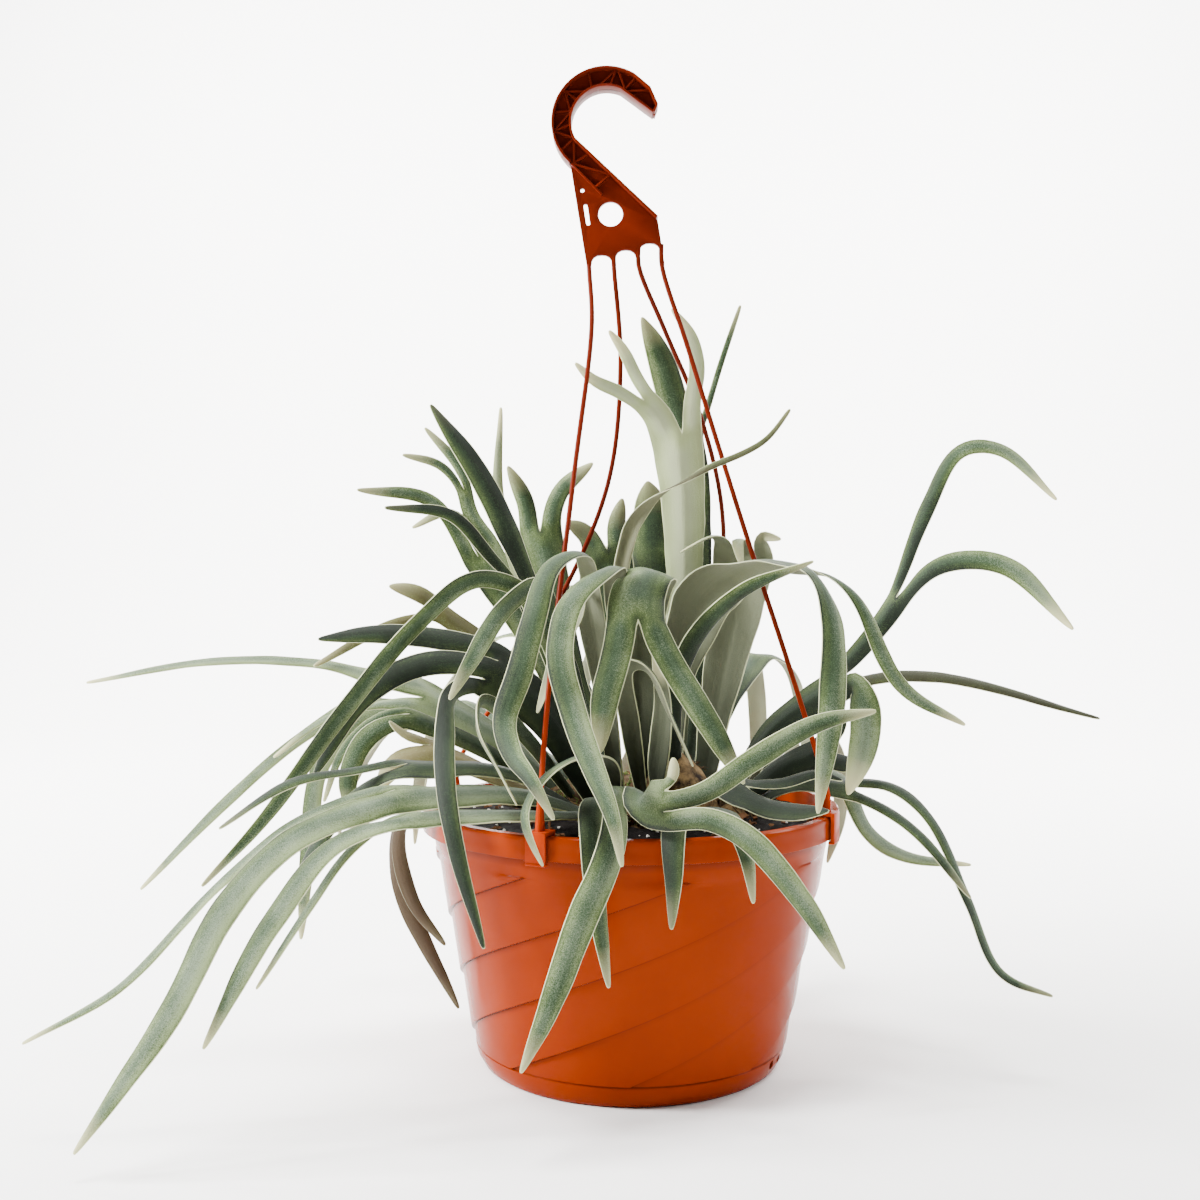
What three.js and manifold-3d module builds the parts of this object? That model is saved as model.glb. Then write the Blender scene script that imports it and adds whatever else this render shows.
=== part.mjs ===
// A staghorn fern growing in a hanging basket: a moulded pot with swirled walls, potting mix, the fern's
// crown and its antler-shaped fronds, and a hanger whose four strands clip over the pot's rim.
// Millimetres. X to the right, Y away from the viewer, Z up. The origin is the middle of the pot's underside.
import * as THREE from "three";
import { mergeVertices } from "three/addons/utils/BufferGeometryUtils.js";
import Module from "manifold-3d";

const wasm = await Module();
wasm.setup();

// Pot
const RIM_RADIUS = 125;
const POT_HEIGHT = 153;
const BASE_RADIUS = 91;
const BAND_HEIGHT = 13;
const BAND_DEPTH = 3.2;
const WALL = 2.4;
const FOOT_HEIGHT = 13.5;
const SWIRL_TOP = 128;
const SWIRL_RIBS = 8;
const SWIRL_SWEEP = THREE.MathUtils.degToRad(150);
const SWIRL_STEP = 1.1;
// The drain holes' places, in degrees round from the viewer's side towards the right
const DRAIN_TURNS = [61, 68, 241, 248];
const DRAIN_RADIUS = 2.6;
const DRAIN_HEIGHT = 9;

// Potting mix and crown
const CLEARANCE = 0.35;
// How far the pot's flat panels stand inside its round wall
const PANEL_SAG = 1;
const SOIL_LEVEL = 144;
const SOIL_DOME = 4;

// Hanger
const HOOK_CENTRE = [-14.5, 562];
const HOOK_OUTER = 33;
const HOOK_INNER = 21;
const HOOK_DEPTH = 14;
const PLATE_THICKNESS = 3;
const RIB_WIDTH = 1.4;
const NAIL_HOLE = { x: -12, z: 508, radius: 7.4 };
const STRAND_WIDTH = 3.2;
const STRAND_TOP = 477;
const STRAND_GAP = 1.1;
const CLIP_WIDTH = 12;
const CLIP_THICKNESS = 2.2;
const CLIP_DROP = 13.6;
const TONGUE_GAP = 2;

// Fronds
const BLADE_THICKNESS = 1.1;
const STALK_THICKNESS = 2.6;
const BLADE_ARCH = 0.16;
const ROW_SPACING = 21;
const TIP_WIDTH = 2.2;
const OPENING_POWER = 1.1;
const TAPER_POWER = 2.8;
// The share of a lobe's length over which its upper face turns, and how far behind a lobe's start the
// point lies that sets its first direction
const TURN_END = 0.6;
const LEAD = 12;

const vector = (x, y, z) => new THREE.Vector3(x, y, z);

function geometryFrom(points, faces) {
  const geometry = new THREE.BufferGeometry();
  geometry.setAttribute("position", new THREE.Float32BufferAttribute(points.flatMap((p) => [p.x, p.y, p.z]), 3));
  geometry.setIndex(faces.flat());
  return geometry;
}

function solidOf(geometry) {
  const bare = geometry.clone();
  bare.deleteAttribute("normal");
  bare.deleteAttribute("uv");
  const merged = mergeVertices(bare, 1e-4);
  const mesh = new wasm.Mesh({
    numProp: 3,
    vertProperties: new Float32Array(merged.attributes.position.array),
    triVerts: new Uint32Array(merged.index.array),
  });
  mesh.merge();
  return new wasm.Manifold(mesh);
}

// Keeps the largest body, so that no loose scrap is left by a cut.
function mainBody(solid) {
  return solid.decompose().reduce((best, body) => (body.volume() > best.volume() ? body : best));
}

function geometryOf(solid) {
  const mesh = mainBody(solid).getMesh();
  const geometry = new THREE.BufferGeometry();
  geometry.setAttribute("position", new THREE.BufferAttribute(mesh.vertProperties, 3));
  geometry.setIndex(new THREE.BufferAttribute(mesh.triVerts, 1));
  return geometry;
}

function union(solids) {
  return solids.reduce((whole, solid) => whole.add(solid));
}

// A closed surface round the Z axis. The profile's first and last points lie on the axis, and place gives
// each point of a row from its radius, height and angle. A panel is split along the diagonal that leans with
// the swirl, because the other one would cut through the wall.
function revolved(profile, angles, place) {
  const points = [];
  const faces = [];
  const count = angles.length;
  const rows = profile.slice(1, -1);
  rows.forEach((row) => angles.forEach((angle) => points.push(place(row, angle))));
  const bottom = points.push(vector(0, 0, profile[0].z)) - 1;
  const top = points.push(vector(0, 0, profile.at(-1).z)) - 1;
  for (let i = 0; i < count; i += 1) {
    const next = (i + 1) % count;
    faces.push([bottom, next, i]);
    for (let row = 0; row < rows.length - 1; row += 1) {
      const low = row * count;
      const high = low + count;
      faces.push([low + i, low + next, high + i], [low + next, high + next, high + i]);
    }
    const last = (rows.length - 1) * count;
    faces.push([top, last + i, last + next]);
  }
  return geometryFrom(points, faces);
}

// Radius of the pot's plain outer wall at a height.
function wallRadius(z) {
  return BASE_RADIUS + (RIM_RADIUS - BAND_DEPTH - BASE_RADIUS) * (z / POT_HEIGHT);
}

// The swirl: each rib stands proud at its lower edge and fades towards the next one.
const RIB_STEPS = [{ part: 0, proud: 1 }, { part: 0.05, proud: 0 }, { part: 0.36, proud: 0.33 },
  { part: 0.68, proud: 0.66 }];

function potGeometry() {
  const columns = [];
  for (let rib = 0; rib < SWIRL_RIBS; rib += 1) {
    RIB_STEPS.forEach((step) => {
      columns.push({ angle: ((rib + step.part) / SWIRL_RIBS) * 2 * Math.PI, proud: step.proud });
    });
  }
  const band = POT_HEIGHT - BAND_HEIGHT;
  const profile = [{ z: 0 }, { radius: BASE_RADIUS - 4, z: 0 }, { radius: BASE_RADIUS - 1, z: 3 },
    { radius: wallRadius(FOOT_HEIGHT) - 0.8, z: FOOT_HEIGHT - 0.6 }];
  const swirlRows = 12;
  for (let row = 0; row <= swirlRows; row += 1) {
    const z = FOOT_HEIGHT + ((SWIRL_TOP - FOOT_HEIGHT) * row) / swirlRows;
    profile.push({ radius: wallRadius(z), z, swirl: true });
  }
  profile.push({ radius: wallRadius(SWIRL_TOP + 1.2), z: SWIRL_TOP + 1.2 });
  profile.push({ radius: wallRadius(band), z: band });
  profile.push({ radius: RIM_RADIUS - 0.8, z: band });
  profile.push({ radius: RIM_RADIUS, z: band + 1 });
  profile.push({ radius: RIM_RADIUS, z: POT_HEIGHT - 1.2 });
  profile.push({ radius: RIM_RADIUS - 1.2, z: POT_HEIGHT });
  profile.push({ radius: wallRadius(POT_HEIGHT) - WALL, z: POT_HEIGHT, inside: true });
  profile.push({ radius: wallRadius(80) - WALL, z: 80, inside: true });
  profile.push({ radius: wallRadius(WALL) - WALL - 3, z: WALL, inside: true });
  profile.push({ z: WALL });
  const place = (row, column) => {
    const rise = (row.z - FOOT_HEIGHT) / (SWIRL_TOP - FOOT_HEIGHT);
    const climb = row.inside ? 1 : THREE.MathUtils.clamp(rise, 0, 1);
    const angle = column.angle + SWIRL_SWEEP * climb;
    const radius = row.radius + (row.swirl ? SWIRL_STEP * (column.proud - 0.5) : 0);
    return vector(radius * Math.cos(angle), radius * Math.sin(angle), row.z);
  };
  let pot = solidOf(revolved(profile, columns, place));
  DRAIN_TURNS.forEach((turn) => {
    const hole = new THREE.CylinderGeometry(DRAIN_RADIUS, DRAIN_RADIUS, 12, 6);
    hole.rotateZ(Math.PI / 2);
    hole.translate(BASE_RADIUS, 0, DRAIN_HEIGHT);
    hole.rotateZ(THREE.MathUtils.degToRad(turn - 90));
    pot = pot.subtract(solidOf(hole));
  });
  return geometryOf(pot);
}

// The crown: lumps of old rhizome and leaf bases, each with its middle and its three radii.
const CROWN_LUMPS = [
  { middle: [22, -5, 156], radii: [24, 22, 26] },
  { middle: [-28, -2, 150], radii: [28, 26, 18] },
  { middle: [60, 6, 149], radii: [24, 22, 15] },
  { middle: [10, 34, 149], radii: [36, 32, 17] },
  { middle: [4, -40, 148], radii: [30, 18, 14] },
];

function lumpGeometry(lump, grow) {
  const geometry = new THREE.IcosahedronGeometry(1, 2);
  const position = geometry.attributes.position;
  for (let i = 0; i < position.count; i += 1) {
    const way = vector(position.getX(i), position.getY(i), position.getZ(i)).normalize();
    const knobs = 1 + 0.05 * Math.sin(7 * way.x + lump.middle[0]) * Math.cos(6 * way.y + 5 * way.z);
    position.setXYZ(i,
      lump.middle[0] + way.x * (lump.radii[0] * knobs + grow),
      lump.middle[1] + way.y * (lump.radii[1] * knobs + grow),
      lump.middle[2] + way.z * (lump.radii[2] * knobs + grow));
  }
  return geometry;
}

function crownSolid(grow) {
  return union(CROWN_LUMPS.map((lump) => solidOf(lumpGeometry(lump, grow))));
}

function soilSolid() {
  const angles = Array.from({ length: 28 }, (unused, i) => (i / 28) * 2 * Math.PI);
  const inside = (z) => wallRadius(z) - WALL - CLEARANCE - PANEL_SAG;
  const profile = [{ z: WALL + CLEARANCE }, { radius: inside(0) - 4, z: WALL + CLEARANCE },
    { radius: inside(80), z: 80 }, { radius: inside(SOIL_LEVEL - 2), z: SOIL_LEVEL - 2 },
    { radius: 104, z: SOIL_LEVEL, heaped: true }, { radius: 82, z: SOIL_LEVEL + SOIL_DOME * 0.5, heaped: true },
    { radius: 54, z: SOIL_LEVEL + SOIL_DOME * 0.8, heaped: true }, { radius: 25, z: SOIL_LEVEL + SOIL_DOME },
    { z: SOIL_LEVEL + SOIL_DOME }];
  const place = (row, angle) => {
    const heap = row.heaped ? 1.3 * Math.sin(5 * angle + row.radius) + Math.cos(9 * angle) : 0;
    return vector(row.radius * Math.cos(angle), row.radius * Math.sin(angle), row.z + heap);
  };
  return solidOf(revolved(profile, angles, place));
}

// The path through its points, as a smooth curve sampled at even steps. The lead point only sets the
// direction in which it starts.
function smoothPath(lead, knots) {
  const curve = new THREE.CatmullRomCurve3([lead, ...knots], false, "centripetal");
  const first = 1 / knots.length;
  const fine = Array.from({ length: 81 }, (unused, i) => curve.getPoint(first + (1 - first) * (i / 80)));
  const reach = [0];
  for (let i = 1; i < fine.length; i += 1) {
    reach.push(reach[i - 1] + fine[i].distanceTo(fine[i - 1]));
  }
  const length = reach.at(-1);
  const at = (share) => {
    const want = share * length;
    let i = 1;
    while (i < 80 && reach[i] < want) {
      i += 1;
    }
    const part = (want - reach[i - 1]) / (reach[i] - reach[i - 1]);
    return fine[i - 1].clone().lerp(fine[i], part);
  };
  return { length, at };
}

// A blade grows row by row. A row holds columns across the blade, each a point on the upper face and one
// on the lower face.
class Blade {
  points = [];

  faces = [];

  row(middle, across, up, half, thickness, shares) {
    return shares.map((share) => {
      const centre = middle.clone().addScaledVector(across, share * half);
      centre.addScaledVector(up, BLADE_ARCH * half * (1 - share * share));
      const top = this.points.push(centre.clone().addScaledVector(up, thickness / 2)) - 1;
      const bottom = this.points.push(centre.clone().addScaledVector(up, -thickness / 2)) - 1;
      return { top, bottom };
    });
  }

  // Joins two rows. Both faces are split into the same triangles.
  join(from, to) {
    let i = 0;
    let j = 0;
    while (i < from.length - 1 || j < to.length - 1) {
      const stepFrom = (i + 1) / (from.length - 1);
      const stepTo = (j + 1) / (to.length - 1);
      if (j === to.length - 1 || (i < from.length - 1 && stepFrom <= stepTo)) {
        this.faces.push([from[i].top, from[i + 1].top, to[j].top]);
        this.faces.push([from[i].bottom, to[j].bottom, from[i + 1].bottom]);
        i += 1;
      } else {
        this.faces.push([from[i].top, to[j + 1].top, to[j].top]);
        this.faces.push([from[i].bottom, to[j].bottom, to[j + 1].bottom]);
        j += 1;
      }
    }
    const [a, b] = [from[0], to[0]];
    this.faces.push([a.top, b.top, b.bottom], [a.top, b.bottom, a.bottom]);
    const [c, d] = [from.at(-1), to.at(-1)];
    this.faces.push([c.top, d.bottom, d.top], [c.top, c.bottom, d.bottom]);
  }

  close(row, isStart) {
    for (let i = 0; i < row.length - 1; i += 1) {
      const [a, b] = [row[i], row[i + 1]];
      if (isStart) {
        this.faces.push([a.top, a.bottom, b.bottom], [a.top, b.bottom, b.top]);
      } else {
        this.faces.push([a.top, b.bottom, a.bottom], [a.top, b.top, b.bottom]);
      }
    }
  }

  middleOf(row) {
    const sum = vector(0, 0, 0);
    row.forEach((column) => sum.add(this.points[column.top]).add(this.points[column.bottom]));
    return sum.divideScalar(row.length * 2);
  }
}

const BLADE_SHARES = [-1, 0, 1];

// The half-width along a lobe: it opens from the width that it starts with, then narrows to its tip, or
// opens to the fork that it ends in.
function halfWidth(lobe, startWidth, share) {
  if (lobe.lobes.length > 0) {
    return (startWidth + (lobe.width - startWidth) * share ** OPENING_POWER) / 2;
  }
  const open = THREE.MathUtils.smoothstep(share, 0, 0.35);
  const full = startWidth + (lobe.width - startWidth) * open;
  return (full + (TIP_WIDTH - full) * Math.max(0, (share - 0.35) / 0.65) ** TAPER_POWER) / 2;
}

// Turns a blade's upper face about the way ahead, little by little, until it looks the lobe's own way.
function turnedUp(up, ahead, way, share) {
  const wanted = vector(...way);
  wanted.addScaledVector(ahead, -wanted.dot(ahead)).normalize();
  const angle = Math.atan2(up.clone().cross(wanted).dot(ahead), up.dot(wanted));
  return up.clone().applyAxisAngle(ahead, angle * THREE.MathUtils.smoothstep(share, 0, TURN_END));
}

function totalWidth(lobes) {
  return lobes.reduce((sum, child) => sum + child.width, 0);
}

// Where a fork splits the width: each lobe gets its part by its own width.
function forkShares(lobes) {
  if (lobes.length === 1) {
    return BLADE_SHARES;
  }
  let reached = -1;
  return [-1, ...lobes.map((child) => {
    reached += (2 * child.width) / totalWidth(lobes);
    return reached;
  })];
}

// Grows one lobe from the row that it starts at, and then the lobes that it forks into.
function growLobe(blade, lobe, start) {
  const knots = [start.middle, ...lobe.path.map((p) => vector(...p))];
  const path = smoothPath(start.lead, knots);
  const steps = Math.max(2, Math.round(path.length / ROW_SPACING));
  let ordered = [];
  let up = start.up;
  let face = up;
  let row = start.row;
  let across = null;
  let middle = null;
  let ahead = start.ahead;
  for (let step = 1; step <= steps; step += 1) {
    const share = step / steps;
    middle = path.at(share);
    ahead = path.at(Math.min(1, share + 0.02)).sub(path.at(share - 0.02)).normalize();
    up = up.clone().addScaledVector(ahead, -up.dot(ahead)).normalize();
    face = lobe.turn ? turnedUp(up, ahead, lobe.turn, share) : up;
    across = ahead.clone().cross(face).normalize();
    const half = halfWidth(lobe, start.width, share);
    const thickness = start.stalk ? THREE.MathUtils.lerp(STALK_THICKNESS, BLADE_THICKNESS, share)
      : BLADE_THICKNESS;
    let shares = BLADE_SHARES;
    if (step === steps && lobe.lobes.length > 0) {
      const side = (child) => vector(...child.path[0]).sub(middle).dot(across);
      ordered = lobe.lobes.toSorted((a, b) => side(a) - side(b));
      shares = forkShares(ordered);
    }
    const next = blade.row(middle, across, face, half, thickness, shares);
    blade.join(row, next);
    row = next;
  }
  if (ordered.length === 0) {
    blade.close(row, false);
    return;
  }
  ordered.forEach((child, i) => {
    const part = ordered.length === 1 ? row : [row[i], row[i + 1]];
    const childMiddle = blade.middleOf(part);
    growLobe(blade, child, {
      row: part, middle: childMiddle, lead: childMiddle.clone().addScaledVector(ahead, -LEAD),
      up: face, ahead, width: (lobe.width * child.width) / totalWidth(ordered), stalk: false,
    });
  });
}

// A frond: its stalk starts in the crown with its upper face turned the way that facing says.
function frondSolid(frond) {
  const blade = new Blade();
  const [foot, ...rest] = frond.path.map((p) => vector(...p));
  const ahead = rest[0].clone().sub(foot).normalize();
  let up = vector(...frond.facing);
  up.addScaledVector(ahead, -up.dot(ahead)).normalize();
  const across = ahead.clone().cross(up).normalize();
  const row = blade.row(foot, across, up, frond.foot / 2, STALK_THICKNESS, BLADE_SHARES);
  blade.close(row, true);
  growLobe(blade, { ...frond, path: frond.path.slice(1) }, {
    row, middle: foot, lead: foot.clone().addScaledVector(ahead, -LEAD), up, ahead, width: frond.foot, stalk: true,
  });
  return solidOf(geometryFrom(blade.points, blade.faces));
}

// A frond's width is its width at the fork, and a lobe's is its widest. Paths are chosen by eye.
function lobe(width, path, ...lobes) {
  return { width, path, lobes };
}

function frond(name, foot, width, facing, path, ...lobes) {
  return { name: `frond_${name}`, foot, width, facing, path, lobes };
}

// A lobe whose upper face turns to look a way of its own.
function turned(way, item) {
  return { ...item, turn: way };
}

const TO_VIEWER = [0, -1, 0];
const FROM_VIEWER = [0, 1, 0];

const FRONDS = [
  // The tall group in the middle
  frond("tall_pale", 10, 32, TO_VIEWER, [[28, 4, 170], [30, 8, 230], [33, 12, 290], [32, 14, 340],
    [28, 14, 376]],
    lobe(16, [[16, 11, 389], [8, 7, 397]],
      lobe(8, [[-8, 1, 402], [-22, -8, 407], [-33, -12, 417]]),
      lobe(8, [[3, 6, 412], [-3, 3, 425], [-13, -2, 438]])),
    lobe(10, [[38, 14, 398], [41, 13, 416], [37, 9, 436], [25, 3, 452]])),
  frond("tall_green", 8, 26, TO_VIEWER, [[32, 11, 158], [42, 30, 230], [42, 36, 290], [38, 38, 352],
    [33, 39, 378]],
    lobe(19, [[27, 40, 400], [20, 38, 424], [7, 30, 452]]),
    lobe(4, [[48, 38, 394], [57, 38, 424], [69, 34, 460]])),
  frond("whip", 7, 10, FROM_VIEWER, [[14, -12, 165], [4, -10, 225], [-6, -12, 288], [0, -16, 318]],
    turned(TO_VIEWER, lobe(4, [[15, -22, 336], [30, -28, 344], [46, -34, 353], [64, -40, 360],
      [78, -44, 368], [91, -46, 385]]))),
  frond("arch_front", 9, 44, FROM_VIEWER, [[10, -20, 165], [4, -30, 235], [4, -48, 280], [6, -64, 290]],
    turned(TO_VIEWER, lobe(15, [[-14, -84, 291], [-30, -102, 278], [-37, -114, 250], [-28, -124, 215],
      [-8, -158, 168], [-4, -166, 148]])),
    turned(TO_VIEWER, lobe(33, [[4, -77, 281], [3, -85, 265]],
      lobe(17, [[-8, -91, 246], [-14, -95, 222], [-16, -97, 195]]),
      lobe(15, [[20, -91, 246], [40, -102, 214], [60, -108, 180]])))),
  frond("grey_right", 12, 40, [0.3, 1, 0], [[44, 6, 158], [52, 14, 205], [63, 18, 258], [70, 12, 302]],
    lobe(9, [[52, 2, 314], [30, -6, 304]]),
    lobe(8, [[64, -4, 312], [66, -14, 296]]),
    lobe(9, [[78, 2, 314], [90, -8, 312]])),
  frond("arch_right", 9, 36, FROM_VIEWER, [[26, -14, 168], [26, -12, 225], [42, -26, 276]],
    turned([0, 0.3, 1], lobe(24, [[72, -46, 294], [98, -64, 292]],
      turned(TO_VIEWER, lobe(15, [[108, -84, 272], [108, -96, 225], [100, -99, 163]])),
      turned(TO_VIEWER, lobe(9, [[122, -74, 280], [148, -76, 230], [186, -66, 207]]))))),
  frond("dark_arch", 8, 13, [0.2, -1, 0.3], [[28, -22, 160], [24, -42, 215], [34, -62, 252], [60, -74, 281],
    [100, -80, 298]]),
  frond("arch_low", 7, 12, FROM_VIEWER, [[8, -34, 155], [0, -52, 205], [-4, -66, 238], [8, -78, 240],
    [22, -84, 212], [34, -86, 186]]),
  frond("fold_left", 8, 19, [0.3, 1, 0.2], [[-6, -24, 152], [-17, -40, 235], [-27, -53, 287]],
    turned(TO_VIEWER, lobe(15, [[-28, -76, 302], [-43, -88, 294], [-52, -95, 265], [-60, -99, 235],
      [-67, -104, 214], [-62, -118, 198], [-50, -138, 186], [-38, -150, 168]])),
    lobe(10, [[-28, -58, 274], [-40, -51, 250], [-53, -54, 212]])),
  frond("back_fork", 9, 32, TO_VIEWER, [[12, 16, 160], [-2, 26, 240], [-15, 31, 306]],
    lobe(13, [[-27, 31, 316], [-40, 28, 324]]),
    lobe(12, [[-9, 33, 320], [-5, 34, 339]])),
  frond("back_wide", 9, 42, TO_VIEWER, [[20, 22, 165], [22, 38, 240], [21, 46, 306]],
    lobe(26, [[14, 48, 326], [11, 49, 351]]),
    lobe(12, [[38, 49, 324], [45, 49, 347]])),
  frond("back_antler", 8, 27, TO_VIEWER, [[-6, 32, 155], [-36, 46, 225], [-58, 58, 318]],
    lobe(12, [[-68, 57, 338], [-79, 52, 361]]),
    lobe(12, [[-46, 60, 344], [-24, 54, 363]])),
  frond("curled_young", 6, 13, [0.4, 1, 0], [[16, -40, 156], [15, -48, 178], [17, -57, 198], [18, -62, 222],
    [13, -62, 248]]),

  // The left side
  frond("fan", 8, 28, [0.4, -1, 0.2], [[-22, 14, 155], [-52, 21, 235], [-92, 24, 303]],
    lobe(9, [[-122, 14, 336], [-165, -6, 342]]),
    lobe(7, [[-112, 24, 330], [-136, 22, 320]]),
    lobe(10, [[-100, 28, 328], [-104, 28, 344]],
      lobe(6, [[-118, 24, 359], [-141, 16, 365]]),
      lobe(7, [[-110, 30, 362], [-129, 28, 383]]))),
  frond("dark_left", 8, 17, [0.3, -1, 0.2], [[-16, -6, 155], [-46, -5, 240], [-64, -8, 286]],
    lobe(15, [[-88, -12, 346], [-119, -16, 392]]),
    lobe(8, [[-84, -14, 302], [-106, -22, 326], [-144, -30, 330]])),
  frond("light_left", 7, 9, TO_VIEWER, [[-14, 4, 158], [-54, 9, 255], [-80, 10, 332], [-79, 6, 393]]),
  frond("long_fall", 9, 22, [0.2, -0.9, 0.6], [[-16, -18, 152], [-40, -30, 240], [-56, -42, 283]],
    lobe(10, [[-88, -56, 288], [-118, -68, 264], [-157, -88, 215], [-195, -108, 160], [-226, -115, 126]]),
    turned(TO_VIEWER, lobe(11, [[-70, -66, 272], [-86, -92, 244], [-96, -106, 224]]))),
  frond("dark_blade", 9, 36, [0.2, -0.8, 0.6], [[-20, -24, 152], [-50, -38, 210], [-80, -46, 236]],
    lobe(13, [[-112, -48, 254], [-142, -54, 257], [-177, -58, 254]]),
    lobe(15, [[-116, -56, 240], [-150, -68, 222], [-176, -74, 178]]),
    turned(TO_VIEWER, lobe(11, [[-98, -84, 226], [-97, -118, 206], [-93, -142, 182], [-86, -154, 152],
      [-72, -160, 106]]))),
  frond("long_left", 9, 30, [0.4, -0.7, 0.8], [[-34, 0, 152], [-82, -11, 193], [-124, -19, 217]],
    lobe(7, [[-152, -24, 230], [-182, -28, 238], [-244, -38, 240], [-315, -44, 228]]),
    lobe(5, [[-148, -30, 214], [-178, -40, 206], [-204, -52, 186]])),
  frond("brown_blunt", 8, 13, [0.2, -0.8, 0.6], [[-24, 4, 152], [-70, 0, 232], [-114, -8, 268]],
    lobe(11, [[-128, -12, 280], [-144, -16, 284]]),
    lobe(6, [[-140, -18, 262], [-185, -34, 237]])),
  frond("left_spray", 8, 28, [0.3, -0.6, 0.8], [[-34, 6, 150], [-90, 8, 196], [-160, -8, 208]],
    lobe(8, [[-198, -20, 192], [-240, -36, 154], [-284, -44, 108]]),
    turned(TO_VIEWER, lobe(11, [[-182, -26, 180], [-188, -36, 130], [-192, -38, 78]]))),
  frond("middle_left", 7, 14, [0.3, -0.8, 0.6], [[-40, -10, 150], [-86, -30, 188], [-128, -44, 208]],
    lobe(13, [[-150, -54, 198], [-160, -60, 172], [-154, -62, 150]]),
    lobe(6, [[-146, -44, 208], [-166, -46, 188], [-176, -48, 160]])),
  frond("yellow_notched", 8, 18, [0, -0.6, 0.8], [[-36, -20, 150], [-84, -45, 177], [-114, -57, 191]],
    lobe(16, [[-132, -66, 184], [-142, -68, 169]]),
    lobe(8, [[-128, -60, 200], [-136, -62, 208]])),
  frond("dark_low", 8, 20, [0, -0.5, 1], [[-28, -26, 150], [-72, -61, 179], [-122, -84, 184]],
    lobe(8, [[-150, -94, 184], [-180, -114, 180], [-214, -124, 158]]),
    turned([-0.3, -0.8, 0.6], lobe(11, [[-144, -88, 174], [-168, -94, 146], [-184, -96, 116]]))),
  frond("front_left_big", 9, 27, [-0.1, -0.6, 1], [[-19, -43, 150], [-58, -72, 167], [-124, -106, 171]],
    turned([-0.2, -0.9, 0.5], lobe(17, [[-170, -138, 156], [-200, -154, 126], [-224, -172, 76],
      [-265, -188, 14]])),
    lobe(8, [[-172, -118, 162], [-212, -128, 130], [-262, -138, 78], [-310, -142, 51]])),
  frond("blue_left", 9, 22, [-0.2, -0.7, 1], [[-12, -46, 151], [-46, -94, 160], [-112, -134, 165]],
    turned([-0.2, -0.9, 0.4], lobe(13, [[-146, -152, 156], [-178, -162, 116], [-209, -168, 58]])),
    lobe(7, [[-140, -146, 152], [-160, -152, 124], [-186, -156, 84]])),
  frond("pale_blue_thin", 6, 9, [0.4, -1, 0.2], [[-32, -16, 155], [-66, -56, 206], [-82, -82, 222],
    [-82, -100, 208], [-70, -106, 186], [-60, -108, 168]]),
  frond("curl_over_rim", 8, 12, [0, 0.9, 0.5], [[-10, -36, 152], [-12, -76, 185], [-24, -102, 193],
    [-38, -116, 189], [-48, -126, 181], [-54, -135, 168], [-50, -140, 155], [-44, -141, 143]]),
  frond("dead_dry", 8, 15, [-0.3, -0.6, 1], [[-46, -21, 151], [-80, -40, 161], [-114, -52, 166]],
    turned(TO_VIEWER, lobe(9, [[-130, -60, 148], [-123, -64, 108], [-104, -64, 82]])),
    turned(TO_VIEWER, lobe(11, [[-135, -42, 144], [-132, -42, 108], [-99, -44, 40]]))),

  // Over the rim in front
  frond("strap_front_left", 8, 14, [0, -0.7, 0.8], [[-2, -50, 150], [-10, -80, 163], [-20, -114, 168],
    [-20, -131, 155], [-17, -131, 120], [-11, -133, 79]]),
  frond("front_antler", 9, 34, [0, -0.8, 0.7], [[10, -46, 150], [6, -78, 166], [0, -110, 173]],
    turned(TO_VIEWER, lobe(16, [[-8, -134, 160], [-12, -146, 146], [-23, -156, 122], [-40, -168, 78],
      [-53, -172, 49]])),
    turned(TO_VIEWER, lobe(27, [[7, -130, 173], [18, -136, 173]],
      lobe(7, [[22, -134, 187], [22, -132, 197]]),
      lobe(12, [[38, -136, 180], [62, -134, 196], [96, -126, 214], [127, -120, 220]]),
      lobe(13, [[38, -144, 168], [58, -152, 160], [84, -160, 131], [105, -160, 97]])))),
  frond("strap_front", 8, 15, [0, -0.7, 0.8], [[20, -42, 150], [26, -82, 162], [24, -112, 165],
    [22, -130, 153], [22, -136, 132], [21, -136, 110]]),
  frond("strap_right", 7, 12, [0.2, -0.7, 0.8], [[28, -36, 151], [46, -82, 161], [54, -110, 160],
    [60, -124, 145], [63, -130, 122]]),
  frond("dark_wavy", 9, 22, [0.1, -0.6, 1], [[32, -22, 153], [48, -40, 170], [64, -54, 167]],
    lobe(15, [[80, -66, 159], [98, -78, 160], [108, -86, 162]]),
    lobe(9, [[86, -54, 172], [106, -54, 178], [120, -54, 174]])),

  // The right side
  frond("big_right", 8, 24, [-0.4, -0.8, 0.5], [[58, 2, 150], [84, -8, 196], [127, -18, 228]],
    lobe(15, [[140, -22, 252], [157, -24, 276]],
      lobe(10, [[173, -28, 330], [190, -36, 362], [212, -40, 362], [242, -46, 333]]),
      lobe(12, [[178, -36, 296], [212, -50, 296], [246, -64, 260]])),
    turned(TO_VIEWER, lobe(19, [[132, -28, 229], [136, -36, 212], [133, -43, 190], [124, -47, 165]]))),
  frond("thin_right", 7, 9, [0, -0.5, 1], [[64, 6, 148], [94, 24, 192], [140, 32, 222], [190, 26, 227],
    [286, 10, 203]]),
  frond("low_right", 8, 18, [0.1, -0.6, 1], [[66, -2, 146], [98, -24, 168], [126, -34, 166]],
    lobe(9, [[150, -38, 168], [172, -42, 150], [192, -46, 106], [210, -50, 64], [240, -50, 51]]),
    lobe(8, [[146, -48, 156], [166, -58, 140], [190, -64, 110]])),
  frond("pale_right", 8, 14, [0.2, -0.5, 1], [[70, 8, 146], [100, 12, 165], [128, 14, 165], [144, 8, 134],
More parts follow.
